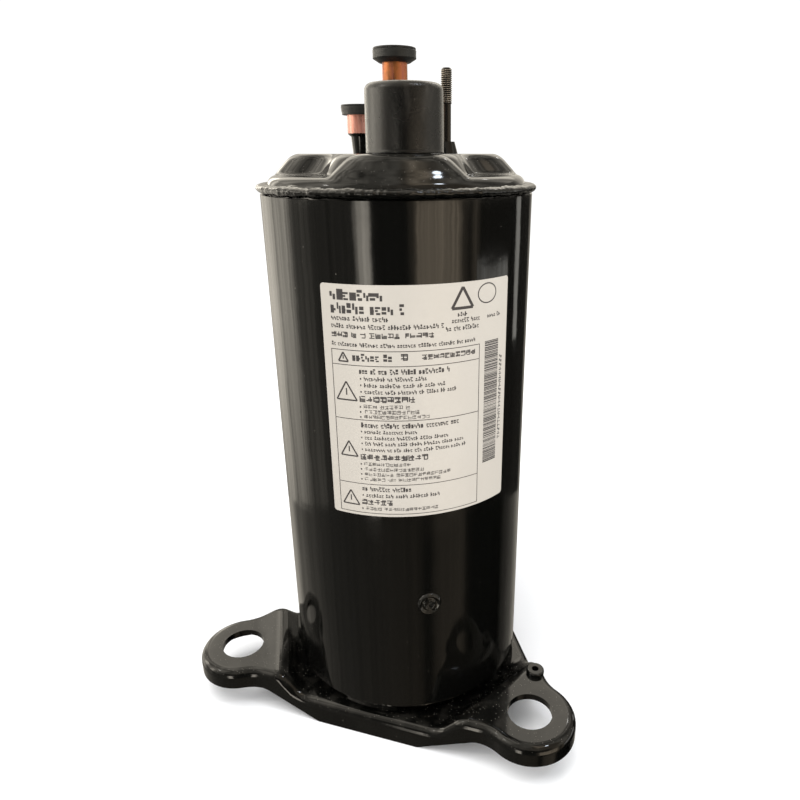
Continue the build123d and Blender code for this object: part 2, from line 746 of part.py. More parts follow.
def accumulator_disc(height, thickness, hole_r, rings):
    """A perforated disc across the accumulator, its holes on rings of (radius, count)."""
    with BuildPart() as disc:
        with BuildSketch(Plane.XY.offset(height)):
            with Locations(ACC_AT):
                Circle(ACC_R - ACC_WALL - GAP)
                for ring_r, count in rings:
                    with PolarLocations(ring_r, count):
                        Circle(hole_r, mode=Mode.SUBTRACT)
        extrude(amount=thickness)
    return disc


accumulator_screen = accumulator_disc(SCREEN_Z, SCREEN_T, SCREEN_HOLE_R, SCREEN_HOLES)
save("accumulator_screen", accumulator_screen)
accumulator_baffle = accumulator_disc(BAFFLE_Z, BAFFLE_T, BAFFLE_HOLE_R, BAFFLE_HOLES)
save("accumulator_baffle", accumulator_baffle)

# The standpipe leaves the accumulator's bottom and bends level into the pump.
with BuildPart() as suction_elbow:
    with BuildLine(side_plane(SUCTION_ANGLE)) as suction_route:
        FilletPolyline(
            (ACC_AT_R, TUBE_TOP_Z),
            (ACC_AT_R, PUMP_Z),
            (TUBE_END_R, PUMP_Z),
            radius=TUBE_BEND,
        )
    with BuildSketch(Plane(origin=(*ACC_AT, TUBE_TOP_Z), z_dir=(0, 0, -1))):
        Circle(TUBE_R)
        Circle(TUBE_R - TUBE_WALL, mode=Mode.SUBTRACT)
    sweep(path=suction_route.line)
save("suction_elbow", suction_elbow)

with BuildPart() as suction_sleeve:
    with BuildSketch(facing_plane(SUCTION_ANGLE, SLEEVE_REACH[0], PUMP_Z)):
        Circle(SLEEVE_R)
        Circle(TUBE_R + GAP, mode=Mode.SUBTRACT)
    extrude(amount=SLEEVE_REACH[1] - SLEEVE_REACH[0])
save("suction_sleeve", suction_sleeve)

# Bracket: a saddle on two legs welded to the shell, with a wing at each end for the band.
SADDLE_HALF = 73
FOOT_PAD = (23.0, 8.0)
LEG_V = (15.0, 17.0)
LEG_U = (56.0, 64.2)
WING_U = 80.1
WING_V = (26.6, 37.5)
CLAMP_Z = (BRACKET_Z[0] + BRACKET_Z[1]) / 2
SCREW_R = 2.0
CLAMP_HOLE_R = 2.1
CLAMP_HEAD = (3.9, 2.8)
CLAMP_NUT = (4.0, 3.15)
SCREW_END = 4.0
SCREW_IN_HEAD = 0.5


def box_face(u, v, side):
    """A rectangle between two u values and two v values, on one side of the middle."""
    with Locations(((u[0] + u[1]) / 2, side * (v[0] + v[1]) / 2)):
        Rectangle(u[1] - u[0], v[1] - v[0])


def clamp_circles(radius, u):
    """The two clamp screws' circles, on an upright plane at u."""
    with BuildSketch(facing_plane(SUCTION_ANGLE, u, CLAMP_Z)) as circles:
        with Locations((CLAMP_V, 0), (-CLAMP_V, 0)):
            Circle(radius)
    return circles.sketch


HOLE_FROM_U = WING_U - 3 * BRACKET_T
SADDLE_R = ACC_R + SEAT
PAD_R = SHELL_R + SEAT

with BuildPart() as accumulator_bracket:
    with BuildSketch(level_plane(SUCTION_ANGLE, BRACKET_Z[0])):
        add(ring_sector(SADDLE_R, SADDLE_R + BRACKET_T, 180, SADDLE_HALF, (ACC_AT_R, 0)))
        for side in (-1, 1):
            add(ring_sector(PAD_R, PAD_R + BRACKET_T, side * FOOT_PAD[0], FOOT_PAD[1]))
            box_face(LEG_U, LEG_V, side)
            box_face((WING_U - BRACKET_T, WING_U), WING_V, side)
    extrude(amount=BRACKET_Z[1] - BRACKET_Z[0])
    holes = clamp_circles(CLAMP_HOLE_R, HOLE_FROM_U)
    extrude(holes, amount=5 * BRACKET_T, mode=Mode.SUBTRACT)
save("accumulator_bracket", accumulator_bracket)

BAND_U = WING_U + SEAT
BAND_V = (SADDLE_R, SADDLE_R + BAND_T)
with BuildPart() as accumulator_band:
    with BuildSketch(level_plane(SUCTION_ANGLE, BRACKET_Z[0])):
        add(ring_sector(BAND_V[0], BAND_V[1], 0, 90, (ACC_AT_R, 0)))
        for side in (-1, 1):
            box_face((BAND_U, ACC_AT_R), BAND_V, side)
            box_face((BAND_U, BAND_U + BAND_T), (BAND_V[0], WING_V[1]), side)
    extrude(amount=BRACKET_Z[1] - BRACKET_Z[0])
    holes = clamp_circles(CLAMP_HOLE_R, HOLE_FROM_U)
    extrude(holes, amount=5 * BRACKET_T, mode=Mode.SUBTRACT)
save("accumulator_band", accumulator_band)

with BuildPart() as band_screws:
    shanks = clamp_circles(SCREW_R, WING_U - BRACKET_T - SCREW_END)
    extrude(shanks, amount=SCREW_END + BRACKET_T + BAND_T + SCREW_IN_HEAD)
    with BuildSketch(facing_plane(SUCTION_ANGLE, BAND_U + BAND_T + TOUCH, CLAMP_Z)):
        with Locations((CLAMP_V, 0), (-CLAMP_V, 0)):
            RegularPolygon(CLAMP_HEAD[0], 6)
    extrude(amount=CLAMP_HEAD[1])
save("band_screws", band_screws)

with BuildPart() as band_nuts:
    with BuildSketch(facing_plane(SUCTION_ANGLE, WING_U - BRACKET_T - SEAT, CLAMP_Z)):
        with Locations((CLAMP_V, 0), (-CLAMP_V, 0)):
            RegularPolygon(CLAMP_NUT[0], 6)
            Circle(SCREW_R + GAP, mode=Mode.SUBTRACT)
    extrude(amount=-CLAMP_NUT[1])
save("band_nuts", band_nuts)


# ---- Pump --------------------------------------------------------------------------
def bolt_circles(radius, height):
    """A circle round each pump bolt's axis, on a level plane."""
    with BuildSketch(Plane.XY.offset(height)) as circles:
        with Locations(*[polar(BOLT_CIRCLE_R, a) for a in PUMP_BOLT_ANGLES]):
            Circle(radius)
    return circles.sketch


PUMP_HOLE_R = PUMP_BOLT_R + SEAT
SLOT_W = VANE_T + 2 * SIDE_GAP
SLOT_END_ROUND_R = 3.0
SLOT_MIDDLE_R = (BORE_R + SLOT_END_R) / 2 - 1
SPRING_BORE_R = SPRING_R + FREE
SPRING_BORE_FROM_R = SLOT_END_R - 10
SUCTION_PORT_R = 5.6
with BuildPart() as cylinder_block:
    with BuildSketch(Plane.XY.offset(BLOCK_Z[0])):
        Circle(INSIDE_R)
        Circle(BORE_R, mode=Mode.SUBTRACT)
        for passage_angle in PASSAGE_ANGLES:
            add(ring_sector(*PASSAGE, passage_angle, PASSAGE_HALF), mode=Mode.SUBTRACT)
        with Locations(polar(SLOT_END_R, VANE_ANGLE)):
            Circle(SLOT_END_ROUND_R, mode=Mode.SUBTRACT)
        with Locations(polar(SLOT_MIDDLE_R, VANE_ANGLE)):
            Rectangle(SLOT_END_R - BORE_R + 2, SLOT_W, rotation=VANE_ANGLE, mode=Mode.SUBTRACT)
    extrude(amount=BLOCK_H)
    with BuildSketch(facing_plane(VANE_ANGLE, SPRING_BORE_FROM_R, PUMP_Z)):
        Circle(SPRING_BORE_R)
    extrude(amount=INSIDE_R, mode=Mode.SUBTRACT)
    with BuildSketch(facing_plane(SUCTION_ANGLE, BORE_R - 2, PUMP_Z)):
        Circle(SUCTION_PORT_R)
    extrude(amount=TUBE_END_R, mode=Mode.SUBTRACT)
    with BuildSketch(facing_plane(SUCTION_ANGLE, TUBE_END_R - 0.1, PUMP_Z)):
        Circle(TUBE_R + GAP)
    extrude(amount=BORE_R, mode=Mode.SUBTRACT)
    extrude(bolt_circles(PUMP_HOLE_R, BLOCK_Z[0]), amount=BLOCK_H, mode=Mode.SUBTRACT)
save("cylinder_block", cylinder_block)

MUFFLER_R = 33.0
MUFFLER_T = 1.2
MUFFLER_TOP_Z = 95.0
MUFFLER_EDGE = 3.0
MUFFLER_PORT_R = 3.0
MUFFLER_PORT_CIRCLE_R = 24.0
HUB_EDGE = 1.0
VALVE_SPAN = PORT_AT[1] - RIVET_AT[1]
VALVE_MIDDLE = (PORT_AT[0], (PORT_AT[1] + RIVET_AT[1]) / 2)
with BuildPart() as main_bearing:
    with BuildSketch(Plane.XY.offset(MAIN_FLANGE_Z[0])):
        Circle(FLANGE_R)
    extrude(amount=MAIN_FLANGE_Z[1] - MAIN_FLANGE_Z[0])
    with BuildSketch(Plane.XY.offset(MAIN_FLANGE_Z[1])):
        Circle(MAIN_HUB[0])
    extrude(amount=MAIN_HUB[1] - MAIN_FLANGE_Z[1])
    chamfer(main_bearing.faces().sort_by(Axis.Z)[-1].edges(), HUB_EDGE)
    with BuildSketch(Plane.XY.offset(MAIN_FLANGE_Z[0])):
        Circle(JOURNAL_R + JOURNAL_GAP)
        with Locations(PORT_AT):
            Circle(PORT_R)
    extrude(amount=VALVE_FLOOR_Z - MAIN_FLANGE_Z[0], mode=Mode.SUBTRACT)
    with BuildSketch(Plane.XY.offset(VALVE_FLOOR_Z)):
        Circle(JOURNAL_R + JOURNAL_GAP)
    extrude(amount=MAIN_HUB[1] - VALVE_FLOOR_Z, mode=Mode.SUBTRACT)
    with BuildSketch(Plane.XY.offset(VALVE_FLOOR_Z)):
        with Locations(VALVE_MIDDLE):
            SlotCenterToCenter(VALVE_SPAN, VALVE_POCKET_W, rotation=90)
    extrude(amount=MAIN_FLANGE_Z[1] - VALVE_FLOOR_Z, mode=Mode.SUBTRACT)
    with BuildSketch(Plane.XY.offset(VALVE_FLOOR_Z)):
        with Locations(RIVET_AT):
            Circle(HEEL_POCKET[0])
    extrude(amount=-HEEL_POCKET[1], mode=Mode.SUBTRACT)
    with BuildSketch(Plane.XY.offset(VALVE_FLOOR_Z)):
        with Locations(RIVET_AT):
            Circle(RIVET_R + GAP)
    extrude(amount=-RIVET_DEPTH, mode=Mode.SUBTRACT)
    holes = bolt_circles(PUMP_HOLE_R, MAIN_FLANGE_Z[0])
    extrude(holes, amount=MAIN_FLANGE_Z[1] - MAIN_FLANGE_Z[0], mode=Mode.SUBTRACT)
save("main_bearing", main_bearing)

with BuildPart() as sub_bearing:
    with BuildSketch(Plane.XY.offset(SUB_FLANGE_Z[0])):
        Circle(FLANGE_R)
    extrude(amount=SUB_FLANGE_Z[1] - SUB_FLANGE_Z[0])
    with BuildSketch(Plane.XY.offset(SUB_HUB[1])):
        Circle(SUB_HUB[0])
    extrude(amount=SUB_FLANGE_Z[0] - SUB_HUB[1])
    with BuildSketch(Plane.XY.offset(SUB_HUB[1])):
        Circle(JOURNAL_R + JOURNAL_GAP)
    extrude(amount=SUB_FLANGE_Z[1] - SUB_HUB[1], mode=Mode.SUBTRACT)
    holes = bolt_circles(PUMP_HOLE_R, SUB_FLANGE_Z[0])
    extrude(holes, amount=SUB_FLANGE_Z[1] - SUB_FLANGE_Z[0], mode=Mode.SUBTRACT)
save("sub_bearing", sub_bearing)

# The eccentric stands REST_TURN ahead of the vane, with the vane drawn back in its slot.
ECCENTRIC_ANGLE = VANE_ANGLE + REST_TURN
ECCENTRIC_AT = polar(ECCENTRICITY, ECCENTRIC_ANGLE)
FACE_GAP = 0.03
ECCENTRIC_FACE_GAP = 0.6
OIL_BORE_R = 2.4
OIL_BORE_TOP_Z = 120.0
with BuildPart() as crankshaft:
    with BuildSketch(Plane.XY.offset(SHAFT_Z[0])):
        Circle(JOURNAL_R)
    extrude(amount=SHAFT_Z[1] - SHAFT_Z[0])
    with BuildSketch(Plane.XY.offset(BLOCK_Z[0] + ECCENTRIC_FACE_GAP)):
        with Locations(ECCENTRIC_AT):
            Circle(ECCENTRIC_R)
    extrude(amount=BLOCK_H - 2 * ECCENTRIC_FACE_GAP)
    with BuildSketch(Plane.XY.offset(SHAFT_Z[0])):
        Circle(OIL_BORE_R)
    extrude(amount=OIL_BORE_TOP_Z - SHAFT_Z[0], mode=Mode.SUBTRACT)
save("crankshaft", crankshaft)

with BuildPart() as roller:
    with BuildSketch(Plane.XY.offset(BLOCK_Z[0] + FACE_GAP)):
        with Locations(ECCENTRIC_AT):
            Circle(ROLLER_R)
            Circle(ECCENTRIC_R + FACE_GAP, mode=Mode.SUBTRACT)
    extrude(amount=BLOCK_H - 2 * FACE_GAP)
save("roller", roller)

# The vane's tip is round, and its back is notched for the spring.
VANE_TIP_R = 4.0
NOTCH_DEPTH = 5.5
with BuildPart() as vane:
    with BuildSketch(level_plane(VANE_ANGLE, BLOCK_Z[0] + FACE_GAP)):
        with Locations((BORE_R + VANE_LENGTH / 2, 0)):
            Rectangle(VANE_LENGTH, VANE_T)
    extrude(amount=BLOCK_H - 2 * FACE_GAP)
    with BuildSketch(level_plane(VANE_ANGLE, BLOCK_Z[0])):
        with Locations((BORE_R + VANE_TIP_R, 0)):
            Circle(VANE_TIP_R)
        with Locations((BORE_R + VANE_TIP_R + VANE_LENGTH / 2, 0)):
            Rectangle(VANE_LENGTH, 2 * VANE_T)
    extrude(amount=BLOCK_H, mode=Mode.INTERSECT)
    with BuildSketch(side_plane(VANE_ANGLE)):
        with Locations((BORE_R + VANE_LENGTH, PUMP_Z)):
            Rectangle(2 * NOTCH_DEPTH, 2 * SPRING_BORE_R)
    extrude(amount=VANE_T, both=True, mode=Mode.SUBTRACT)
save("vane", vane)

# Compression spring between the vane's notch and the shell.
SPRING_WIRE_R = 0.45
SPRING_FROM = BORE_R + VANE_LENGTH - NOTCH_DEPTH + FREE + SPRING_WIRE_R
SPRING_TO = INSIDE_R - FREE - SPRING_WIRE_R
SPRING_TURNS = 6
SPRING_COIL_R = SPRING_R - SPRING_WIRE_R
with BuildPart() as vane_spring:
    with BuildLine() as coil:
        Helix(
            pitch=(SPRING_TO - SPRING_FROM) / SPRING_TURNS,
            height=SPRING_TO - SPRING_FROM,
            radius=SPRING_COIL_R,
            center=(*polar(SPRING_FROM, VANE_ANGLE), PUMP_Z),
            direction=(*polar(1, VANE_ANGLE), 0),
        )
    with BuildSketch(Plane(origin=coil.line @ 0, z_dir=coil.line % 0)):
        Circle(SPRING_WIRE_R)
    sweep(path=coil.line)
save("vane_spring", vane_spring)

# Discharge valve: a reed over the port, under a curved stop, both held by one rivet.
with BuildPart() as discharge_valve:
    with BuildSketch(Plane.XY.offset(VALVE_FLOOR_Z + SIDE_GAP)):
        with Locations(VALVE_MIDDLE):
            SlotCenterToCenter(VALVE_SPAN, REED_W, rotation=90)
        with Locations(RIVET_AT):
            Circle(RIVET_R + FREE, mode=Mode.SUBTRACT)
    extrude(amount=REED_T)
save("discharge_valve", discharge_valve)

STOP_UNDER_Z = VALVE_FLOOR_Z + SIDE_GAP + REED_T + SEAT
STOP_T = 1.5
STOP_W = 8.6
STOP_CLEAR = 0.6  # degrees past the reed's lift
STOP_RISE = tan(radians(VALVE_LIFT + STOP_CLEAR))
STOP_TIP_Y = PORT_AT[1] + STOP_W / 2
STOP_HEEL_Y = RIVET_AT[1] - STOP_W / 2
STOP_FLAT_Y = RIVET_AT[1] + 3.4
STOP_TIP_Z = STOP_UNDER_Z + (STOP_TIP_Y - RIVET_AT[1]) * STOP_RISE
with BuildPart() as valve_stop:
    with BuildSketch(Plane.YZ.offset(PORT_AT[0] - STOP_W / 2)):
        Polygon(
            (STOP_HEEL_Y, STOP_UNDER_Z),
            (RIVET_AT[1], STOP_UNDER_Z),
            (STOP_TIP_Y, STOP_TIP_Z),
            (STOP_TIP_Y, STOP_TIP_Z + STOP_T),
            (STOP_FLAT_Y, STOP_UNDER_Z + STOP_T),
            (STOP_HEEL_Y, STOP_UNDER_Z + STOP_T),
            align=None,
        )
    extrude(amount=STOP_W)
    with BuildSketch(Plane.XY.offset(VALVE_FLOOR_Z)):
        with Locations(VALVE_MIDDLE):
            SlotCenterToCenter(VALVE_SPAN, STOP_W, rotation=90)
        with Locations(RIVET_AT):
            Circle(RIVET_R + GAP, mode=Mode.SUBTRACT)
    extrude(amount=STOP_TIP_Z + STOP_T - VALVE_FLOOR_Z, mode=Mode.INTERSECT)
save("valve_stop", valve_stop)

RIVET_HEAD = (2.8, 1.2)
RIVET_LOW_Z = VALVE_FLOOR_Z - RIVET_DEPTH + 0.2
RIVET_HEAD_Z = STOP_UNDER_Z + STOP_T + TOUCH
with BuildPart() as valve_rivet:
    with BuildSketch(Plane.XY.offset(RIVET_LOW_Z)):
        with Locations(RIVET_AT):
            Circle(RIVET_R)
    extrude(amount=RIVET_HEAD_Z - RIVET_LOW_Z)
    with BuildSketch(Plane.XY.offset(RIVET_HEAD_Z)):
        with Locations(RIVET_AT):
            Circle(RIVET_HEAD[0])
    extrude(amount=RIVET_HEAD[1])
save("valve_rivet", valve_rivet)

with BuildPart() as discharge_muffler:
    with BuildSketch(Plane.XY.offset(MAIN_FLANGE_Z[1])):
        Circle(FLANGE_R)
    extrude(amount=MUFFLER_T)
    with BuildSketch(Plane.XY.offset(MAIN_FLANGE_Z[1])):
        Circle(MUFFLER_R)
    extrude(amount=MUFFLER_TOP_Z - MAIN_FLANGE_Z[1])
    fillet(discharge_muffler.faces().sort_by(Axis.Z)[-1].edges(), MUFFLER_EDGE)
    with BuildSketch(Plane.XY.offset(MAIN_FLANGE_Z[1])):
        Circle(MUFFLER_R - MUFFLER_T)
    extrude(amount=MUFFLER_TOP_Z - MUFFLER_T - MAIN_FLANGE_Z[1], mode=Mode.SUBTRACT)
    with BuildSketch(Plane.XY.offset(MUFFLER_TOP_Z)):
        Circle(MAIN_HUB[0] + SEAT)
        with PolarLocations(MUFFLER_PORT_CIRCLE_R, 2, start_angle=VANE_ANGLE + 90):
            Circle(MUFFLER_PORT_R)
    extrude(amount=-2 * MUFFLER_T, mode=Mode.SUBTRACT)
    holes = bolt_circles(PUMP_HOLE_R, MAIN_FLANGE_Z[1])
    extrude(holes, amount=MUFFLER_T, mode=Mode.SUBTRACT)
save("discharge_muffler", discharge_muffler)


def pump_bolts(seat_z, end_z):
    """Hex-head bolts on the pump's bolt circle, from under the head to the shank's end."""
    way = 1 if end_z > seat_z else -1
    under_head_z = seat_z - way * TOUCH
    with BuildPart() as bolts:
        extrude(bolt_circles(PUMP_BOLT_R, under_head_z), amount=end_z - under_head_z)
        with BuildSketch(Plane.XY.offset(under_head_z)):
            with Locations(*[polar(BOLT_CIRCLE_R, a) for a in PUMP_BOLT_ANGLES]):
                RegularPolygon(PUMP_BOLT_HEAD[0], 6)
        extrude(amount=-way * PUMP_BOLT_HEAD[1])
    return bolts


main_bearing_bolts = pump_bolts(MAIN_FLANGE_Z[1] + MUFFLER_T, PUMP_Z - 1)
save("main_bearing_bolts", main_bearing_bolts)
sub_bearing_bolts = pump_bolts(SUB_FLANGE_Z[0], PUMP_Z - 3)
save("sub_bearing_bolts", sub_bearing_bolts)

# Oil paddle: a twisted strip in the shaft's bore that lifts oil from the sump.
PADDLE = (4.2, 0.8)
PADDLE_Z = (21.0, 57.0)
PADDLE_STEPS = 6
PADDLE_STEP_TWIST = 30
with BuildPart() as oil_paddle:
    for step in range(PADDLE_STEPS + 1):
        rise = (PADDLE_Z[1] - PADDLE_Z[0]) * step / PADDLE_STEPS
        with BuildSketch(level_plane(PADDLE_STEP_TWIST * step, PADDLE_Z[0] + rise)):
            Rectangle(*PADDLE)
    loft()
save("oil_paddle", oil_paddle)


# ---- Motor -------------------------------------------------------------------------
SLOT_HALF = 4.2
SLOT_ANGLES = [360 / SLOTS * k for k in range(SLOTS)]
SLOT_MOUTH = 2.0
STATOR_FLATS = 6
FLAT_DEPTH = 1.6
FLAT_W = 16.0
FLAT_START = 15.0
with BuildPart() as stator_core:
    with BuildSketch(Plane.XY.offset(STATOR_Z[0])):
        Circle(INSIDE_R)
        Circle(STATOR_IN_R, mode=Mode.SUBTRACT)
        for slot_angle in SLOT_ANGLES:
            add(ring_sector(*SLOT_R, slot_angle, SLOT_HALF), mode=Mode.SUBTRACT)
        with PolarLocations((STATOR_IN_R + SLOT_R[0]) / 2, SLOTS):
            Rectangle(SLOT_R[0] - STATOR_IN_R + 2, SLOT_MOUTH, mode=Mode.SUBTRACT)
        with PolarLocations(INSIDE_R, STATOR_FLATS, start_angle=FLAT_START):
            Rectangle(2 * FLAT_DEPTH, FLAT_W, mode=Mode.SUBTRACT)
    extrude(amount=STATOR_Z[1] - STATOR_Z[0])
save("stator_core", stator_core)

WIRE_GAP = 0.3
WIRE_HALF = SLOT_HALF - 0.5
WIRE_R = (SLOT_R[0] + WIRE_GAP, SLOT_R[1] - WIRE_GAP)
END_TURN_CORNER = 5.0


def end_turn_face(grow):
    """The end turns' section on an upright plane, standing from z = 0."""
    with BuildSketch() as face:
        with Locations(((END_TURN[0] + END_TURN[1]) / 2, END_TURN[2] / 2)):
            RectangleRounded(
                END_TURN[1] - END_TURN[0] + 2 * grow,
                END_TURN[2] + 2 * grow,
                END_TURN_CORNER + grow,
            )
    return face.sketch


END_TURN_Z = (STATOR_Z[0] - WIRE_GAP - END_TURN[2], STATOR_Z[1] + WIRE_GAP)
with BuildPart() as stator_winding:
    with BuildSketch(Plane.XY.offset(STATOR_Z[0] - 2 * END_TURN_CORNER)):
        for slot_angle in SLOT_ANGLES:
            add(ring_sector(*WIRE_R, slot_angle, WIRE_HALF))
    extrude(amount=STATOR_Z[1] - STATOR_Z[0] + 4 * END_TURN_CORNER)
    for turn_z in END_TURN_Z:
        with BuildSketch(side_plane(0, (0, 0, turn_z))):
            add(end_turn_face(0))
        revolve(axis=Axis.Z)
save("stator_winding", stator_winding)

TIE_T = 0.5
TIE_ARC = 3.0
TIES = 8
TIE_START = 7.5
TIE_OPEN_H = 10.0
with BuildPart() as winding_ties:
    # Each tie is open on the side of the core.
    for turn_z, open_z in zip(END_TURN_Z, (END_TURN[2] + TIE_OPEN_H / 2, -TIE_OPEN_H / 2)):
        for k in range(TIES):
            with BuildSketch(side_plane(360 / TIES * k + TIE_START, (0, 0, turn_z))):
                add(end_turn_face(TIE_T))
                add(end_turn_face(TOUCH), mode=Mode.SUBTRACT)
                with Locations((END_TURN[0], open_z)):
                    Rectangle(2 * END_TURN[1], TIE_OPEN_H, mode=Mode.SUBTRACT)
            revolve(axis=Axis.Z, revolution_arc=TIE_ARC)
save("winding_ties", winding_ties)

RIVET_ANGLES = [ECCENTRIC_ANGLE + turn for turn in (-45, 45, 135, 225)]


def rivet_holes(low):
    """The rotor's four rivet holes, on a level plane."""
    with BuildSketch(Plane.XY.offset(low)) as circles:
        with Locations(*[polar(RIVET_CIRCLE_R, a) for a in RIVET_ANGLES]):
            Circle(RIVET_R + GAP)
    return circles.sketch


with BuildPart() as rotor_core:
    with BuildSketch(Plane.XY.offset(ROTOR_Z[0])):
        Circle(ROTOR_R)
        Circle(JOURNAL_R + GAP, mode=Mode.SUBTRACT)
        with PolarLocations(CAGE_R, CAGE_BARS):
            Circle(BAR_R + GAP, mode=Mode.SUBTRACT)
    extrude(amount=ROTOR_Z[1] - ROTOR_Z[0])
    extrude(rivet_holes(ROTOR_Z[0]), amount=ROTOR_Z[1] - ROTOR_Z[0], mode=Mode.SUBTRACT)
save("rotor_core", rotor_core)

RING_Z = (ROTOR_Z[0] - END_RING_H, ROTOR_Z[1] + END_RING_H)
with BuildPart() as rotor_cage:
    with BuildSketch(Plane.XY.offset(ROTOR_Z[0] - 1)):
        with PolarLocations(CAGE_R, CAGE_BARS):
            Circle(BAR_R)
    extrude(amount=ROTOR_Z[1] - ROTOR_Z[0] + 2)
    for ring_low in (RING_Z[0], ROTOR_Z[1]):
        with BuildSketch(Plane.XY.offset(ring_low)):
            Circle(END_RING_R[1])
            Circle(END_RING_R[0], mode=Mode.SUBTRACT)
        extrude(amount=END_RING_H)
    extrude(rivet_holes(RING_Z[0]), amount=RING_Z[1] - RING_Z[0], mode=Mode.SUBTRACT)
save("rotor_cage", rotor_cage)


def balance_weight(low, height, angle):
    """A half-ring weight riveted to one end of the rotor."""
    with BuildPart() as weight:
        with BuildSketch(Plane.XY.offset(low)):
            add(ring_sector(*WEIGHT_R, angle, WEIGHT_HALF_ANGLE))
        extrude(amount=height)
        extrude(rivet_holes(low), amount=height, mode=Mode.SUBTRACT)
    return weight


UPPER_WEIGHT_TOP_Z = RING_Z[1] + WEIGHT_H[1]
lower_balance_weight = balance_weight(RING_Z[0] - WEIGHT_H[0], WEIGHT_H[0], ECCENTRIC_ANGLE + 180)
save("lower_balance_weight", lower_balance_weight)
upper_balance_weight = balance_weight(RING_Z[1], WEIGHT_H[1], ECCENTRIC_ANGLE)
save("upper_balance_weight", upper_balance_weight)

SEPARATOR_R = (6.0, 26.0)
SEPARATOR_T = 1.2
with BuildPart() as oil_separator:
    with BuildSketch(Plane.XY.offset(UPPER_WEIGHT_TOP_Z)):
        Circle(SEPARATOR_R[1])
        Circle(SEPARATOR_R[0], mode=Mode.SUBTRACT)
    extrude(amount=SEPARATOR_T)
    extrude(rivet_holes(UPPER_WEIGHT_TOP_Z), amount=SEPARATOR_T, mode=Mode.SUBTRACT)
save("oil_separator", oil_separator)

# Two rivets reach up through the upper weight, two down through the lower one.
ROTOR_RIVET_HEAD = (2.4, 1.0)
RIVET_ENDS = (
    (RING_Z[0], UPPER_WEIGHT_TOP_Z + SEPARATOR_T),
    (RING_Z[0] - WEIGHT_H[0], RING_Z[1]),
)
UPRIGHT = (Align.CENTER, Align.CENTER, Align.MIN)
with BuildPart() as rotor_rivets:
    for turn, rivet_angle in enumerate(RIVET_ANGLES):
        low_end, high_end = RIVET_ENDS[turn // 2]
        x, y = polar(RIVET_CIRCLE_R, rivet_angle)
        with Locations((x, y, low_end - TOUCH)):
            Cylinder(RIVET_R, high_end - low_end + 2 * TOUCH, align=UPRIGHT)
        with Locations((x, y, low_end - TOUCH - ROTOR_RIVET_HEAD[1]), (x, y, high_end + TOUCH)):
            Cylinder(*ROTOR_RIVET_HEAD, align=UPRIGHT)
save("rotor_rivets", rotor_rivets)
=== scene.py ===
"""Looks of a refrigeration rotary compressor: materials, fine pieces, room, lights and camera.

Shapes are worked out in millimetres and polar degrees, as in the CAD model, and turned into
metres where a mesh is made.
"""

import json
from math import ceil, cos, pi, radians, sin, tan

import bmesh
import bpy
import numpy as np
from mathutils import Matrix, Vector, noise


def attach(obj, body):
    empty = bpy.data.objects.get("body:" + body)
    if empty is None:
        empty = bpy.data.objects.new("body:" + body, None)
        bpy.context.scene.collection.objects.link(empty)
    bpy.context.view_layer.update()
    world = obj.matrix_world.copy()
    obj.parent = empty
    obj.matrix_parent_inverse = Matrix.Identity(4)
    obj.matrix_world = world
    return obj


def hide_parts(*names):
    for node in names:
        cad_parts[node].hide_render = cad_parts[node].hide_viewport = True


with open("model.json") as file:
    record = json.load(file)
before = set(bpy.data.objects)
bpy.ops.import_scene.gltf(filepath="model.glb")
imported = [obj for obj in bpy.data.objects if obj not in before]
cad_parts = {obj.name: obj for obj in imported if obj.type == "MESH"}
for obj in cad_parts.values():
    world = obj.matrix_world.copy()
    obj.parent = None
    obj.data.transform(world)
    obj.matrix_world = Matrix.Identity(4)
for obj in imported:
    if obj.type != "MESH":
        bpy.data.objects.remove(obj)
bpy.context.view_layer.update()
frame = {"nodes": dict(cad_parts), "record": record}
nodes = frame["nodes"]

MM = 0.001


# ---- Sizes that the detailed pieces share with the CAD model, in millimetres ----
SHELL_R = 56.0
SKIRT_R = 52.9
SHOULDER_Z = 228.6
PLATEAU_Z = 236.6
WALL = 3.0
TERMINAL_AT = (12.7, -24.3)
STUD_AT = (13.0, 27.1)
PLUG_ANGLES = (-59.3, 60.7, 180.7)
PUMP_Z = 55.0


# ---- Meshes ----
SHARP = radians(40)  # edges that turn by more than this show as edges
SAME_POINT = 1e-7  # in metres; points closer than this are one
LATHE_SPOKES = 160


def polar(radius, angle):
    """The point at a radius and polar angle in degrees, as (x, y)."""
    return (radius * cos(radians(angle)), radius * sin(radians(angle)))


def grid_faces(rows, columns, close_rows=False, close_columns=False):
    """Quads over points laid out row by row, joined end to start where closed."""
    faces = []
    for row in range(rows if close_rows else rows - 1):
        below, above = row * columns, (row + 1) % rows * columns
        for column in range(columns if close_columns else columns - 1):
            after = (column + 1) % columns
            faces.append((below + column, below + after, above + after, above + column))
    return faces


def piece(name, points, faces, material, body, slot, stands_for=(), smooth=True):
    """One mesh object from points in millimetres, riding on a body."""
    mesh = bpy.data.meshes.new(name)
    mesh.from_pydata([(x * MM, y * MM, z * MM) for x, y, z in points], [], faces)
    clean = bmesh.new()
    clean.from_mesh(mesh)
    bmesh.ops.remove_doubles(clean, verts=clean.verts, dist=SAME_POINT)
    bmesh.ops.recalc_face_normals(clean, faces=clean.faces)
    clean.to_mesh(mesh)
    clean.free()
    mesh.polygons.foreach_set("use_smooth", [smooth] * len(mesh.polygons))
    mesh.set_sharp_from_angle(angle=SHARP)
    mesh.materials.append(material)
    made = bpy.data.objects.new(name, mesh)
    bpy.context.scene.collection.objects.link(made)
    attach(made, body)
    if stands_for:
        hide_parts(*stands_for)
    return made


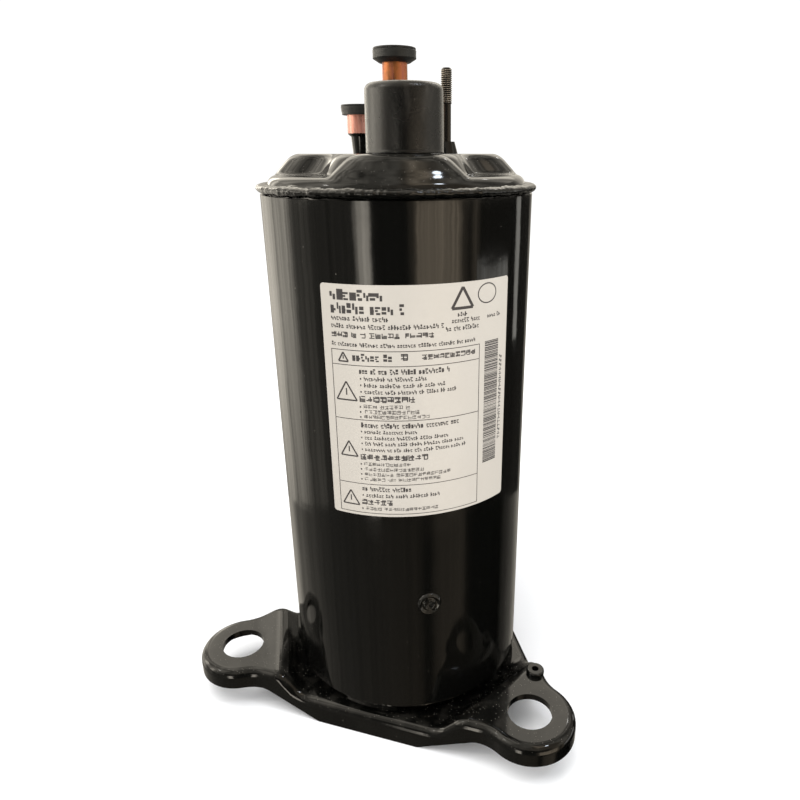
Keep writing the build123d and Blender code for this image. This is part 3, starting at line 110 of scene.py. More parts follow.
def arc(middle_r, middle_z, radius, start, end, steps=8):
    """Points (radius, height) along a rounded edge, start and end in degrees from outwards."""
    turns = np.radians(np.linspace(start, end, steps + 1))
    return [(middle_r + radius * cos(t), middle_z + radius * sin(t)) for t in turns]


def lathe(profile, centre=(0, 0)):
    """A turned shape from points (radius, height) that start and end on the axis."""
    points = []
    for radius, height in profile:
        for k in range(LATHE_SPOKES):
            x, y = polar(radius, 360 * k / LATHE_SPOKES)
            points.append((centre[0] + x, centre[1] + y, height))
    return points, grid_faces(len(profile), LATHE_SPOKES, close_columns=True)


def smooth_min(a, b, blend):
    """The smaller of two values, with a round changeover as wide as blend."""
    share = np.clip(0.5 + 0.5 * (b - a) / blend, 0, 1)
    return b * (1 - share) + a * share - blend * share * (1 - share)


def roughen(x, y, z, scale, size, octaves=3):
    """Smooth noise of a given size over a place; scale is its wavelength in millimetres."""
    place = Vector((x, y, z)) / scale
    return size * noise.fractal(place, 1.0, 2.0, octaves)


# ---- Materials ----
NOISE_SPAN = (0.3, 0.7)  # where most of a noise node's values lie
TURNED_GRAIN = (0.05, 0.05, 1)  # fine rings round the object's z axis, as a lathe leaves


class Surface:
    """A material's node tree, with short ways to add procedural nodes."""

    def __init__(self, name, **uniform):
        self.material = bpy.data.materials.new(name)
        self.material.use_nodes = True
        self.tree = self.material.node_tree
        self.shader = self.tree.nodes["Principled BSDF"]
        self.place = self.add("TexCoord").outputs["Object"]
        for socket, value in uniform.items():
            self.shader.inputs[socket.replace("_", " ")].default_value = value

    def add(self, kind, inputs=None, **settings):
        node = self.tree.nodes.new("ShaderNode" + kind)
        for name, value in settings.items():
            setattr(node, name, value)
        for key, value in (inputs or {}).items():
            if isinstance(value, bpy.types.NodeSocket):
                self.tree.links.new(value, node.inputs[key])
            else:
                node.inputs[key].default_value = value
        return node

    def stretched(self, x, y, z):
        """The object's own coordinates, scaled apart along each axis."""
        scaled = {0: self.place, 1: (x, y, z)}
        return self.add("VectorMath", scaled, operation="MULTIPLY").outputs[0]

    def noise(self, scale, detail=3.0, where=None):
        inputs = {"Vector": where or self.place, "Scale": scale, "Detail": detail}
        return self.add("TexNoise", inputs).outputs[0]

    def math(self, operation, first, second=0.0):
        return self.add("Math", {0: first, 1: second}, operation=operation).outputs[0]

    def spread(self, value, low, high, to_low=0.0, to_high=1.0):
        """value between low and high, carried over to the range to_low to to_high."""
        ends = {"Value": value, "From Min": low, "From Max": high}
        ends.update({"To Min": to_low, "To Max": to_high})
        return self.add("MapRange", ends).outputs[0]

    def tint(self, share, first, second):
        """A colour between two colours."""
        mix = self.add("Mix", data_type="RGBA")
        for index, value in ((0, share), (6, first), (7, second)):
            if isinstance(value, bpy.types.NodeSocket):
                self.tree.links.new(value, mix.inputs[index])
            else:
                mix.inputs[index].default_value = value if index == 0 else (*value, 1)
        return mix.outputs[2]

    def specks(self, spacing, size, amount):
        """Round specks: spacing and size in metres, amount the share of places with one."""
        cells = self.add("TexVoronoi", {"Vector": self.place, "Scale": 1 / spacing})
        here = self.spread(cells.outputs["Distance"], size / spacing, size / spacing * 0.6)
        pick = self.add("SeparateColor", {"Color": cells.outputs["Color"]}).outputs[0]
        return self.math("MULTIPLY", here, self.math("LESS_THAN", pick, amount))

    def height(self, value):
        """The object's z coordinate less a value, in metres."""
        z = self.add("SeparateXYZ", {"Vector": self.place}).outputs["Z"]
        return self.math("SUBTRACT", z, value)

    def away(self, axis=(0, 0)):
        """The level distance from an upright axis at (x, y), in metres."""
        x, y, _ = self.add("SeparateXYZ", {"Vector": self.place}).outputs
        squares = [
            self.math("POWER", self.math("SUBTRACT", value, middle), 2.0)
            for value, middle in zip((x, y), axis)
        ]
        return self.math("SQRT", self.math("ADD", *squares))

    def facing_up(self):
        """0 on walls and undersides, up to 1 on level tops."""
        normal = self.add("NewGeometry").outputs["Normal"]
        z = self.add("SeparateXYZ", {"Vector": normal}).outputs["Z"]
        return self.spread(z, 0.25, 0.95)

    def bump(self, *layers):
        """Bump from (value, depth in metres) layers, on the shader's normal."""
        normal = None
        for value, depth in layers:
            inputs = {"Height": value, "Distance": depth, "Strength": 1.0}
            if normal:
                inputs["Normal"] = normal
            normal = self.add("Bump", inputs).outputs["Normal"]
        self.tree.links.new(normal, self.shader.inputs["Normal"])

    def wire(self, **sockets):
        for socket, value in sockets.items():
            self.tree.links.new(value, self.shader.inputs[socket.replace("_", " ")])


PAINT_BLACK = (0.0021, 0.0021, 0.0018)
DUST = (0.34, 0.31, 0.26)
SPECK_COVER = 0.8  # how far dust hides the paint: a speck, fine grit and a haze
GRIT_COVER = 0.6
HAZE_COVER = 0.035
DUST_ROUGHNESS = 0.9


def paint_layers(look):
    """Colour, roughness and bump of gloss black paint with fine dust."""
    specks = look.specks(0.0045, 0.00016, 0.4)
    up = look.facing_up()
    grit = look.math("MULTIPLY", look.specks(0.0011, 0.00017, 0.55), up)
    dust = look.math("MAXIMUM", specks, look.math("MULTIPLY", grit, GRIT_COVER))
    film = look.spread(look.noise(160.0, 6.0), 0.48, 0.7)
    haze = look.math("MULTIPLY", look.math("MULTIPLY", film, up), HAZE_COVER)
    share = look.math("MAXIMUM", look.math("MULTIPLY", dust, SPECK_COVER), haze)
    colour = look.tint(share, PAINT_BLACK, DUST)
    mottle = look.spread(look.noise(45.0, 4.0), 0.35, 0.7, 0.05, 0.11)
    rough = look.math("ADD", mottle, look.math("MULTIPLY", share, DUST_ROUGHNESS))
    peel = look.noise(330.0, 2.0)
    waves = look.noise(42.0, 2.0)
    return colour, rough, ((waves, 0.00018), (peel, 0.000012))


def black_paint():
    look = Surface("gloss_black_paint", Specular_IOR_Level=0.5)
    colour, rough, layers = paint_layers(look)
    look.wire(Base_Color=colour, Roughness=rough)
    look.bump(*layers)
    return look.material


GRAIN_BROWN = (0.24, 0.08, 0.035)
STAIN_BROWN = (0.17, 0.075, 0.03)
BARE_METALLIC = 0.62  # a dull tarnish keeps bare copper from mirroring fully


def painted_copper(name, boundary, cool, warm, stained):
    """Copper, bare above a ragged paint edge at height boundary, in metres.

    stained is how strong its brown stains are, from 0 to 1.
    """
    look = Surface(name)
    paint, paint_rough, _ = paint_layers(look)
    edge = look.math("MULTIPLY", look.noise(900.0, 2.0), 0.0009)
    bare = look.spread(look.math("ADD", look.height(boundary), edge), 0.0003, 0.0005)
    drawn = look.noise(70.0, 4.0, look.stretched(8, 8, 0.6))
    grain = look.noise(500.0, 5.0, look.stretched(1, 1, 0.25))
    stain = look.spread(look.noise(210.0, 5.0), 0.46, 0.66, 0.0, stained)
    clean = look.tint(look.spread(drawn, 0.35, 0.65), cool, warm)
    fine = look.tint(look.spread(grain, *NOISE_SPAN, 0.35, 0.0), clean, GRAIN_BROWN)
    look.wire(
        Base_Color=look.tint(bare, paint, look.tint(stain, fine, STAIN_BROWN)),
        Metallic=look.math("MULTIPLY", bare, BARE_METALLIC),
        Roughness=look.math(
            "ADD",
            look.math("MULTIPLY", bare, look.spread(grain, *NOISE_SPAN, 0.24, 0.42)),
            look.math("MULTIPLY", look.math("SUBTRACT", 1.0, bare), paint_rough),
        ),
    )
    look.bump((drawn, 0.00002), (grain, 0.000012))
    return look.material


def rubber():
    look = Surface("cap_rubber", Specular_IOR_Level=0.6)
    mottle = look.noise(120.0, 5.0)
    dust = look.specks(0.0028, 0.00012, 0.35)
    colour = look.tint(mottle, (0.006, 0.0065, 0.006), (0.011, 0.0115, 0.0105))
    look.wire(
        Base_Color=look.tint(look.math("MULTIPLY", dust, 0.35), colour, DUST),
        Roughness=look.spread(mottle, *NOISE_SPAN, 0.40, 0.52),
    )
    look.bump((look.noise(2600.0, 3.0), 0.00005), (look.noise(140.0), 0.00006))
    return look.material


def cover_plastic():
    look = Surface("grained_black_plastic", Specular_IOR_Level=0.6)
    grain = look.noise(2300.0, 4.0)
    cloud = look.noise(70.0, 4.0)
    dust = look.specks(0.003, 0.00013, 0.3)
    rub = look.spread(look.noise(260.0, 6.0, look.stretched(1, 1, 0.3)), 0.56, 0.74)
    colour = look.tint(cloud, (0.0022, 0.0021, 0.0018), (0.0046, 0.0042, 0.0035))
    worn = look.tint(look.math("MULTIPLY", rub, 0.25), colour, (0.06, 0.052, 0.042))
    look.wire(
        Base_Color=look.tint(look.math("MULTIPLY", dust, 0.4), worn, DUST),
        Roughness=look.spread(cloud, *NOISE_SPAN, 0.23, 0.31),
    )
    look.bump((grain, 0.00007), (look.noise(900.0, 2.0), 0.00004))
    return look.material


def label_film():
    look = Surface("label_film", Specular_IOR_Level=0.45)
    fibre = look.noise(520.0, 5.0)
    cloud = look.noise(26.0, 3.0)
    warm = look.tint(cloud, (0.49, 0.447, 0.385), (0.525, 0.487, 0.43))
    look.wire(
        Base_Color=look.tint(look.math("MULTIPLY", fibre, 0.12), warm, (0.36, 0.31, 0.25)),
        Roughness=look.spread(fibre, *NOISE_SPAN, 0.30, 0.40),
    )
    look.bump((look.noise(240.0), 0.00001))
    return look.material


def label_ink():
    look = Surface("label_ink", Specular_IOR_Level=0.4)
    worn = look.noise(3200.0, 4.0)
    look.wire(
        Base_Color=look.tint(worn, (0.018, 0.016, 0.017), (0.075, 0.065, 0.060)),
        Roughness=look.spread(worn, *NOISE_SPAN, 0.38, 0.5),
    )
    return look.material


def metal(name, dark, light, rough, grain=(1, 1, 1), scale=300.0, depth=0.000012):
    """A bare metal with grain stretched along the axes given small numbers."""
    look = Surface(name, Metallic=1.0)
    streaks = look.noise(scale, 5.0, look.stretched(*grain))
    cloud = look.noise(70.0, 4.0)
    colour = look.tint(streaks, dark, light)
    look.wire(
        Base_Color=look.tint(look.spread(cloud, 0.5, 0.8, 0.0, 0.4), colour, dark),
        Roughness=look.spread(streaks, *NOISE_SPAN, *rough),
    )
    look.bump((streaks, depth))
    return look.material


def black_steel(axis, crest_r):
    """Oily black stud about an upright axis, in metres, with its thread crests coloured bright:
    partly wear, partly a painted highlight on the crests.
    """
    look = Surface("black_steel", Metallic=0.8)
    patches = look.spread(look.noise(240.0, 5.0), 0.4, 0.7, 0.35, 1.0)
    # Crests lighter than the roots: partly wear, partly a painted highlight standing for the
    # crests' glints.
    worn = look.math("MULTIPLY", look.spread(look.away(axis), *crest_r), patches)
    look.wire(
        Base_Color=look.tint(worn, (0.045, 0.04, 0.034), (0.62, 0.56, 0.47)),
        Roughness=look.spread(worn, 0.0, 1.0, 0.2, 0.4),
    )
    look.bump((look.noise(1500.0), 0.00001))
    return look.material


def lacquered_winding():
    look = Surface("winding_copper", Coat_Weight=0.6, Coat_Roughness=0.12)
    wires = look.add(
        "TexWave",
        {"Vector": look.place, "Scale": 420.0, "Distortion": 1.2, "Detail": 2.0},
        wave_type="RINGS",
        rings_direction="Z",
    ).outputs["Fac"]
    shade = look.noise(240.0, 4.0)
    copper = look.tint(shade, (0.42, 0.13, 0.045), (0.70, 0.27, 0.09))
    # Darker in the grooves between turns of wire: painted shade in the grooves, over the copper's
    # own tone.
    look.wire(
        Base_Color=look.tint(wires, (0.10, 0.03, 0.012), copper),
        Roughness=look.spread(shade, *NOISE_SPAN, 0.25, 0.4),
        Metallic=look.spread(wires, 0.0, 0.4, 0.2, 0.9),
    )
    look.bump((wires, 0.0003))
    return look.material


def laminations():
    """Stacked electrical steel: thin level sheets with small differences of tone."""
    look = Surface("core_laminations", Metallic=1.0)
    sheets = look.add(
        "TexWave",
        {"Vector": look.place, "Scale": 320.0, "Distortion": 0.0},
        wave_type="BANDS",
        bands_direction="Z",
    ).outputs["Fac"]
    tone = look.noise(2000.0, 2.0, look.stretched(0.01, 0.01, 1))
    steel = look.tint(tone, (0.20, 0.21, 0.24), (0.36, 0.37, 0.40))
    look.wire(
        Base_Color=look.tint(look.spread(sheets, 0.0, 0.35), (0.05, 0.05, 0.06), steel),
        Roughness=look.spread(tone, *NOISE_SPAN, 0.35, 0.55),
    )
    look.bump((sheets, 0.00008))
    return look.material


def cast_iron():
    look = Surface("pump_iron", Metallic=0.9)
    grain = look.noise(900.0, 6.0)
    turned = look.noise(1400.0, 3.0, look.stretched(*TURNED_GRAIN))
    look.wire(
        Base_Color=look.tint(grain, (0.11, 0.11, 0.115), (0.26, 0.26, 0.27)),
        Roughness=look.spread(turned, *NOISE_SPAN, 0.38, 0.58),
    )
    look.bump((grain, 0.00005), (turned, 0.00001))
    return look.material


def seal_glass():
    look = Surface("seal_glass", IOR=1.52, Transmission_Weight=0.5)
    cloud = look.noise(600.0, 4.0)
    look.wire(
        Base_Color=look.tint(cloud, (0.03, 0.10, 0.07), (0.09, 0.22, 0.15)),
        Roughness=look.spread(cloud, *NOISE_SPAN, 0.05, 0.16),
    )
    look.bump((cloud, 0.00004))
    return look.material


def moulding(name, dark, light, rough):
    """A plain thermoplastic with soft flow marks."""
    look = Surface(name, Specular_IOR_Level=0.45)
    flow = look.noise(130.0, 4.0)
    look.wire(
        Base_Color=look.tint(flow, dark, light),
        Roughness=look.spread(flow, *NOISE_SPAN, *rough),
    )
    look.bump((look.noise(1300.0), 0.00003))
    return look.material


def woven(name, dark, light, spacing):
    """Braided or twisted fibre, spacing the distance between strands in metres."""
    look = Surface(name, Sheen_Weight=0.3)
    strands = [
        look.add(
            "TexWave",
            {"Vector": look.stretched(*lean), "Scale": 0.3 / spacing, "Distortion": 0.6},
            bands_direction="DIAGONAL",
        ).outputs["Fac"]
        for lean in ((1, 1, 1), (-1, -1, 1))
    ]
    weave = look.math("MAXIMUM", *strands)
    # Darker between the strands, where the bump is lowest: painted shade in the gaps of the weave.
    look.wire(
        Base_Color=look.tint(weave, dark, light),
        Roughness=look.spread(weave, 0.0, 1.0, 0.9, 0.7),
    )
    look.bump((weave, spacing * 0.3))
    return look.material


DISCHARGE_PAINT_Z = 0.2522  # where the paint ends on each pipe, in metres
SUCTION_PAINT_Z = 0.2466
CREST_R = (0.0022, 0.00236)  # the crests are coloured bright, as wear and as a painted highlight, from the first radius to the second, in metres
LOOKS = {
    "black_paint": black_paint(),
    "copper": painted_copper(
        "discharge_copper",
        DISCHARGE_PAINT_Z,
        cool=(0.43, 0.135, 0.085),
        warm=(0.58, 0.185, 0.048),
        stained=0.95,
    ),
    "cap_rubber": rubber(),
    "cover_plastic": cover_plastic(),
    "black_steel": black_steel([along * MM for along in STUD_AT], CREST_R),
    "label_film": label_film(),
    "zinc_steel": metal("zinc_plate", (0.40, 0.40, 0.37), (0.68, 0.68, 0.64), (0.28, 0.42)),
    "seal_glass": seal_glass(),
    "pin_plating": metal("pin_plating", (0.42, 0.39, 0.32), (0.70, 0.67, 0.58), (0.18, 0.3)),
    "connector_plastic": moulding(
        "natural_plastic", (0.62, 0.57, 0.44), (0.80, 0.76, 0.64), (0.42, 0.55)
    ),
    "lead_insulation": woven("braided_sleeve", (0.22, 0.02, 0.015), (0.66, 0.09, 0.06), 0.0004),
    "pump_iron": cast_iron(),
    "ground_steel": metal(
        "ground_steel", (0.42, 0.42, 0.43), (0.66, 0.66, 0.67), (0.12, 0.24), TURNED_GRAIN, 1500.0
    ),
    "dark_bolts": metal("black_oxide", (0.03, 0.03, 0.032), (0.11, 0.11, 0.115), (0.3, 0.5)),
    "core_steel": laminations(),
    "winding_copper": lacquered_winding(),
    "tie_cord": woven("lacing_cord", (0.50, 0.46, 0.36), (0.86, 0.83, 0.74), 0.0004),
    "cage_aluminium": metal("cast_aluminium", (0.48, 0.48, 0.49), (0.78, 0.78, 0.79), (0.3, 0.5)),
    "weight_brass": metal(
        "turned_brass", (0.46, 0.32, 0.11), (0.80, 0.61, 0.28), (0.2, 0.34), TURNED_GRAIN, 900.0
    ),
}
SUCTION_COPPER = painted_copper(
    "suction_copper",
    SUCTION_PAINT_Z,
    cool=(0.66, 0.27, 0.20),
    warm=(0.84, 0.48, 0.40),
    stained=0.2,
)
INK = label_ink()

for subpart in frame["record"]["subparts"]:
    nodes[subpart["node"]].data.materials[0] = LOOKS[subpart["material_slot"]]
nodes["accumulator_inlet_pipe"].data.materials[0] = SUCTION_COPPER


# ---- Pressed top cap ----
LOBE_ANGLES = (-68.0, 52.0, 172.0)
LOBE_R = 51.0
LOBE_HALF_ANGLE = 35.0
LOBE_CORNER = 12.0
VALLEY_R = 31.0
VALLEY_BLEND = 9.0
WALL_RUN = 9.0  # how far the lobes' walls take to rise, seen from above
WALL_FOOT = 1.2  # how far the walls' feet stand outside the lobes' outline
WALL_BENDS = (0.22, 0.45)  # the shares of a wall's run taken by its lower and upper bends
EDGE_R = 4.0
CAP_LOW_Z = 212.0
CAP_RINGS = 150
CAP_SPOKES = 540
RING_CROWDING = 0.8  # below 1, the rings crowd towards the axis less than a sine's
INNER_SHARE = 0.943  # the inner face's size beside the outer face's
PIPE_HOLE_R = 5.03
TERMINAL_HOLE_R = 10.03
DRILL_Z = (220, 240)
DRILL_SIDES = 96


def lobe_depth(x, y):
    """How far inside the lobes' outline a place is, seen from above."""
    radius = np.hypot(x, y)
    angle = np.degrees(np.arctan2(y, x))
    inside = VALLEY_R - radius
    for middle in LOBE_ANGLES:
        turn = (angle - middle + 180) % 360 - 180
        side = np.radians(np.clip(LOBE_HALF_ANGLE - np.abs(turn), -90, 90))
        lobe = smooth_min(LOBE_R - radius, radius * np.sin(side), LOBE_CORNER)
        inside = -smooth_min(-inside, -lobe, VALLEY_BLEND)
    return inside


def wall_rise(run):
    """The share of a lobe wall's height reached at a share of its run: bend, slope, bend."""
    low, high = WALL_BENDS
    slope = 1 / (1 - low / 2 - high / 2)
    below = slope * run * run / (2 * low)
    straight = slope * (run - low / 2)
    above = 1 - slope * (1 - run) ** 2 / (2 * high)
    return np.where(run < low, below, np.where(run < 1 - high, straight, above))


def cap_height(x, y):
    """The height of the cap's outer face: shoulder, round-edged lobes and rim."""
    swell = wall_rise(np.clip((lobe_depth(x, y) + WALL_FOOT) / WALL_RUN, 0, 1))
    radius = np.hypot(x, y)
    over = np.clip(radius - (SKIRT_R - EDGE_R), 0, EDGE_R)
    rim = EDGE_R - np.sqrt(np.maximum(EDGE_R**2 - over**2, 0))
    return SHOULDER_Z + (PLATEAU_Z - SHOULDER_Z) * swell - rim


def top_cap():
    """The cap as a closed sheet: outer face, skirt and inner face."""
    angles = np.linspace(0, 2 * pi, CAP_SPOKES, endpoint=False)
    radii = (SKIRT_R - 0.001) * np.sin(np.linspace(0, pi / 2, CAP_RINGS)) ** RING_CROWDING
    points = []
    for radius in radii:
        x, y = radius * np.cos(angles), radius * np.sin(angles)
        points += zip(x, y, cap_height(x, y))
    for radius in (SKIRT_R, SKIRT_R - WALL):
        points += [(radius * cos(a), radius * sin(a), CAP_LOW_Z) for a in angles]
    for radius in radii[::-1] * INNER_SHARE:
        x, y = radius * np.cos(angles), radius * np.sin(angles)
        points += zip(x, y, cap_height(x, y) - WALL)
    rings = len(points) // CAP_SPOKES
    return points, grid_faces(rings, CAP_SPOKES, close_columns=True)


def drill(target, centre, radius):
    """Cuts a round upright hole through a piece, in millimetres."""
    low, high = DRILL_Z
    made = bmesh.new()
    bmesh.ops.create_cone(
        made,
        cap_ends=True,
        segments=DRILL_SIDES,
        radius1=radius * MM,
        radius2=radius * MM,
        depth=(high - low) * MM,
    )
    middle = Vector((*centre, (low + high) / 2)) * MM
    bmesh.ops.translate(made, verts=made.verts, vec=middle)
    mesh = bpy.data.meshes.new("drill")
    made.to_mesh(mesh)
    made.free()
    tool = bpy.data.objects.new("drill", mesh)
    bpy.context.scene.collection.objects.link(tool)
    cut = target.modifiers.new("cut", "BOOLEAN")
    cut.object = tool
    cut.solver = "EXACT"
    graph = bpy.context.evaluated_depsgraph_get()
    shaped = bpy.data.meshes.new_from_object(target.evaluated_get(graph))
    target.modifiers.clear()
    target.data = shaped
    bpy.data.objects.remove(tool)


PAINTED = (LOOKS["black_paint"], "housing", "black_paint")
cap = piece("pressed_top_cap", *top_cap(), *PAINTED, ["top_cap"])
drill(cap, (0, 0), PIPE_HOLE_R)
drill(cap, TERMINAL_AT, TERMINAL_HOLE_R)


# ---- Weld beads ----
BEAD_AROUND, BEAD_ACROSS = 1440, 28
BEAD_WANDER = (9.0, 0.16)  # how the bead strays from its circle: wavelength and size, in mm
BEAD_SIZE = 0.93  # the mean share of its full size that the bead has
BEAD_SWELLS = ((40, 5.4, 0.12), (90, 14.0, 0.12))  # seed, wavelength in mm, share of the size
BEAD_RIPPLE, BEAD_RIPPLES = 0.012, 120  # size and count, around the object
BEAD_RIDGE, BEAD_RIDGES = 0.07, 3  # size and count, around the bead's own section
LUMP_WAVE = 1.7


def weld_bead(name, middle, half, lump, node):
    """A rough ring of a middle (radius, height) and a half (width, height), in millimetres."""
    points = []
    for i in range(BEAD_AROUND):
        turn = 2 * pi * i / BEAD_AROUND
        x, y = cos(turn) * middle[0], sin(turn) * middle[0]
        ring_r = middle[0] + roughen(x, y, 0, *BEAD_WANDER)
        swell = BEAD_SIZE + sum(roughen(x, y, *how) for how in BEAD_SWELLS)
        uneven = 9 * sin(turn * 5) + 4 * sin(turn * 13)
        ripple = BEAD_RIPPLE * sin(turn * BEAD_RIPPLES + uneven)
        for j in range(BEAD_ACROSS):
            lean = 2 * pi * j / BEAD_ACROSS
            fine = roughen(x + 3 * cos(lean), y, 3 * sin(lean), LUMP_WAVE, lump, 2)
            ridges = BEAD_RIDGE * cos(BEAD_RIDGES * lean - 0.6)
            grow = swell + ripple + ridges + fine
            out = ring_r + half[0] * cos(lean) * grow
            up = middle[1] + half[1] * sin(lean) * grow
            points.append((out * cos(turn), out * sin(turn), up))
    faces = grid_faces(BEAD_AROUND, BEAD_ACROSS, close_rows=True, close_columns=True)
    piece(name, points, faces, *PAINTED, [node])


weld_bead("rim_weld_bead", (54.9, 223.75), (2.7, 2.0), 0.07, "top_weld_bead")
weld_bead("base_weld_bead", (54.1, -1.4), (1.35, 0.95), 0.10, "bottom_weld_bead")


# ---- Plug welds ----
PLUG_R = 5.35
PLUG_RINGS, PLUG_SPOKES = 36, 96
PLUG_LIP = (0.95, 4.35, 0.75)  # ring-shaped swellings: height, distance and spread, in mm
PLUG_SWIRL = (0.65, 2.2, 0.7)
PLUG_PIT = (-0.9, 0, 0.95)
PLUG_FILL = (0.30, 5.3)  # height, and the distance where it ends
PLUG_ROUGH = (0.16, 5.4)
PLUG_WOBBLE = 0.05
SWIRL_SHIFT = 0.25
PLUG_DEEPEST = -0.6
PLUG_EDGE = -0.25  # the weld's rim, sunk a little into the shell
PLUG_ROOT = 1.5  # how deep the weld's flat back lies under the shell's face


def ring_swell(reach, height, middle, spread):
    """A bell-shaped swelling at one distance from a weld's middle."""
    return height * np.exp(-(((reach - middle) / spread) ** 2))


def plug_height(reach, turn, seed):
    """How far a plug weld stands out of the shell, by distance and angle from its middle."""
    reach /= 1 + PLUG_WOBBLE * noise.noise(Vector((cos(turn) * 2, sin(turn) * 2, seed)))
    rings = ring_swell(reach, *PLUG_LIP) + ring_swell(reach, *PLUG_PIT)
    rings += ring_swell(reach - SWIRL_SHIFT * sin(turn + seed), *PLUG_SWIRL)
    fill = PLUG_FILL[0] * (1 - np.clip(reach / PLUG_FILL[1], 0, 1) ** 6)
    bumps = noise.noise(Vector((reach * cos(turn), reach * sin(turn), seed)) * 1.2)
    rough = PLUG_ROUGH[0] * bumps * (1 - (reach / PLUG_ROUGH[1]) ** 4)
    return max(rings + fill + rough, PLUG_DEEPEST)


def plug_weld(number, angle):
    """One weld on the shell's face at a polar angle, with a flat back inside the shell."""
    points = []
    turns = [2 * pi * spoke / PLUG_SPOKES for spoke in range(PLUG_SPOKES)]
    for ring in range(PLUG_RINGS + 1):
        reach = PLUG_R * ring / PLUG_RINGS
        for turn in turns:
            stand = plug_height(reach, turn, 3.0 * number) if ring < PLUG_RINGS else PLUG_EDGE
            side = reach * cos(turn) / SHELL_R * 180 / pi
            x, y = polar(SHELL_R + stand, angle + side)
            points.append((x, y, PUMP_Z + reach * sin(turn)))
    base = polar(SHELL_R - PLUG_ROOT, angle)
    for turn in turns:
        side = polar(PLUG_R * cos(turn), angle + 90)
        points.append((base[0] + side[0], base[1] + side[1], PUMP_Z + PLUG_R * sin(turn)))
    points += [(*base, PUMP_Z)] * PLUG_SPOKES
    return points, grid_faces(PLUG_RINGS + 3, PLUG_SPOKES, close_columns=True)


plug_points, plug_faces = [], []
for number, angle in enumerate(PLUG_ANGLES, 1):
    more_points, more_faces = plug_weld(number, angle)
    plug_faces += [tuple(index + len(plug_points) for index in face) for face in more_faces]
    plug_points += more_points
piece("pump_plug_welds", plug_points, plug_faces, *PAINTED, ["plug_welds"])


# ---- Cover stud ----
THREAD_Z = (257.2, 270.9)
THREAD_PITCH = 0.8
THREAD_R = (1.98, 2.45)
FLANK_STEEPNESS, ROOT_FLAT = 1.35, 0.12
SHANK_R = 2.0
RUN_OUT, RUN_OUT_RISE = 0.5, 0.42  # where the shank widens to the thread: length and rise
TIP_LENGTH, TIP_SLOPE = 0.9, 0.95
STUD_SIDES = 56
STEPS_A_TURN = 14
SHANK_STEP = 0.5


def stud_radius(height, turn):
    """The stud's radius at a height and an angle in turns: shank, thread run-out, thread, tip."""
    phase = (height / THREAD_PITCH - turn) % 1
    flank = min(phase, 1 - phase) * 2
    crest = min(max(flank * FLANK_STEEPNESS - ROOT_FLAT, 0), 1)
    thread = THREAD_R[0] + (THREAD_R[1] - THREAD_R[0]) * crest
    tip = THREAD_R[1] - max(height - (THREAD_Z[1] - TIP_LENGTH), 0) * TIP_SLOPE
    if height < THREAD_Z[0] - RUN_OUT:
        return SHANK_R
    if height < THREAD_Z[0]:
        return SHANK_R + RUN_OUT_RISE * (height - THREAD_Z[0] + RUN_OUT) / RUN_OUT
    return min(thread, tip)


def stud():
    """The stud from the cap's plateau to its tip, with the thread cut as a helix."""
    low, start, top = PLATEAU_Z + 0.05, THREAD_Z[0] - RUN_OUT, THREAD_Z[1]
    step = THREAD_PITCH / STEPS_A_TURN
    heights = [low + SHANK_STEP * k for k in range(ceil((start - low) / SHANK_STEP))]
    heights += [start + step * k for k in range(ceil((top - start) / step))] + [top]
    points = [(*STUD_AT, low)] * STUD_SIDES
    for height in heights:
        for k in range(STUD_SIDES):
            radius = stud_radius(height, k / STUD_SIDES)
            x, y = polar(radius, 360 * k / STUD_SIDES)
            points.append((STUD_AT[0] + x, STUD_AT[1] + y, height))
    points += [(*STUD_AT, top)] * STUD_SIDES
    return points, grid_faces(len(heights) + 2, STUD_SIDES, close_columns=True)


piece(
    "threaded_cover_stud",
    *stud(),
    LOOKS["black_steel"],
    "housing",
    "black_steel",
    ["cover_stud"],
)


# ---- Transport caps and terminal cover ----
# Profiles are points (radius, height) in millimetres, from the top's middle round to the inside.
SUCTION_AT = polar(87.4, 123.2)
COVER_R = 14.5
COVER_DRAFT = 0.18  # how much narrower the cover is at its top
COVER_EDGE_R = 2.7
DISCHARGE_CAP_PROFILE = [
    (0, 275.6),
    (5.0, 275.58),
    (7.2, 275.5),
    *arc(8.15, 275.15, 0.3, 78, 0, 5),
    (8.42, 274.75),
    (8.28, 274.6),
    *arc(8.38, 274.3, 0.22, 80, 0, 4),
    (8.52, 273.0),
    (8.56, 272.1),
    *arc(8.3, 271.75, 0.3, 0, -62, 5),
    (7.2, 270.75),
    *arc(6.1, 270.4, 0.3, -62, -90, 3),
    (5.3, 270.1),
    *arc(5.3, 270.35, 0.25, 270, 180, 4),
    (5.05, 273.62),
    (0, 273.62),
]
SUCTION_CAP_PROFILE = [
    (0, 260.4),
    (6.6, 260.38),
    (9.0, 260.3),
    *arc(9.95, 259.95, 0.32, 75, 0, 5),
    (10.22, 259.6),
    (10.08, 259.45),
    *arc(10.12, 259.15, 0.22, 80, -6, 4),
    (10.2, 257.6),
    (9.9, 256.2),
    *arc(9.55, 255.75, 0.35, -8, -90, 5),
    (7.9, 255.4),
    *arc(7.7, 255.65, 0.25, 270, 180, 4),
    (7.45, 258.42),
    (0, 258.42),
]
COVER_PROFILE = [
    (0, 260.42),
    (8.0, 260.46),
    *arc(COVER_R - COVER_DRAFT - COVER_EDGE_R, 257.8, COVER_EDGE_R, 90, 0, 14),
    (COVER_R - COVER_DRAFT * 0.5, 247.0),
    (14.42, 238.2),
    *arc(14.2, 237.4, 0.3, 40, 0, 3),
    *arc(14.2, 236.95, 0.3, 0, -90, 4),
    (13.3, 236.65),
    (13.0, 236.95),
    (13.0, 257.5),
    (0, 257.5),
]
for name, profile, centre, look in (
    ("discharge_cap", DISCHARGE_CAP_PROFILE, (0, 0), "cap_rubber"),
    ("suction_cap", SUCTION_CAP_PROFILE, SUCTION_AT, "cap_rubber"),
    ("terminal_cover", COVER_PROFILE, TERMINAL_AT, "cover_plastic"),
):
    piece(f"moulded_{name}", *lathe(profile, centre), LOOKS[look], name, look, [name])


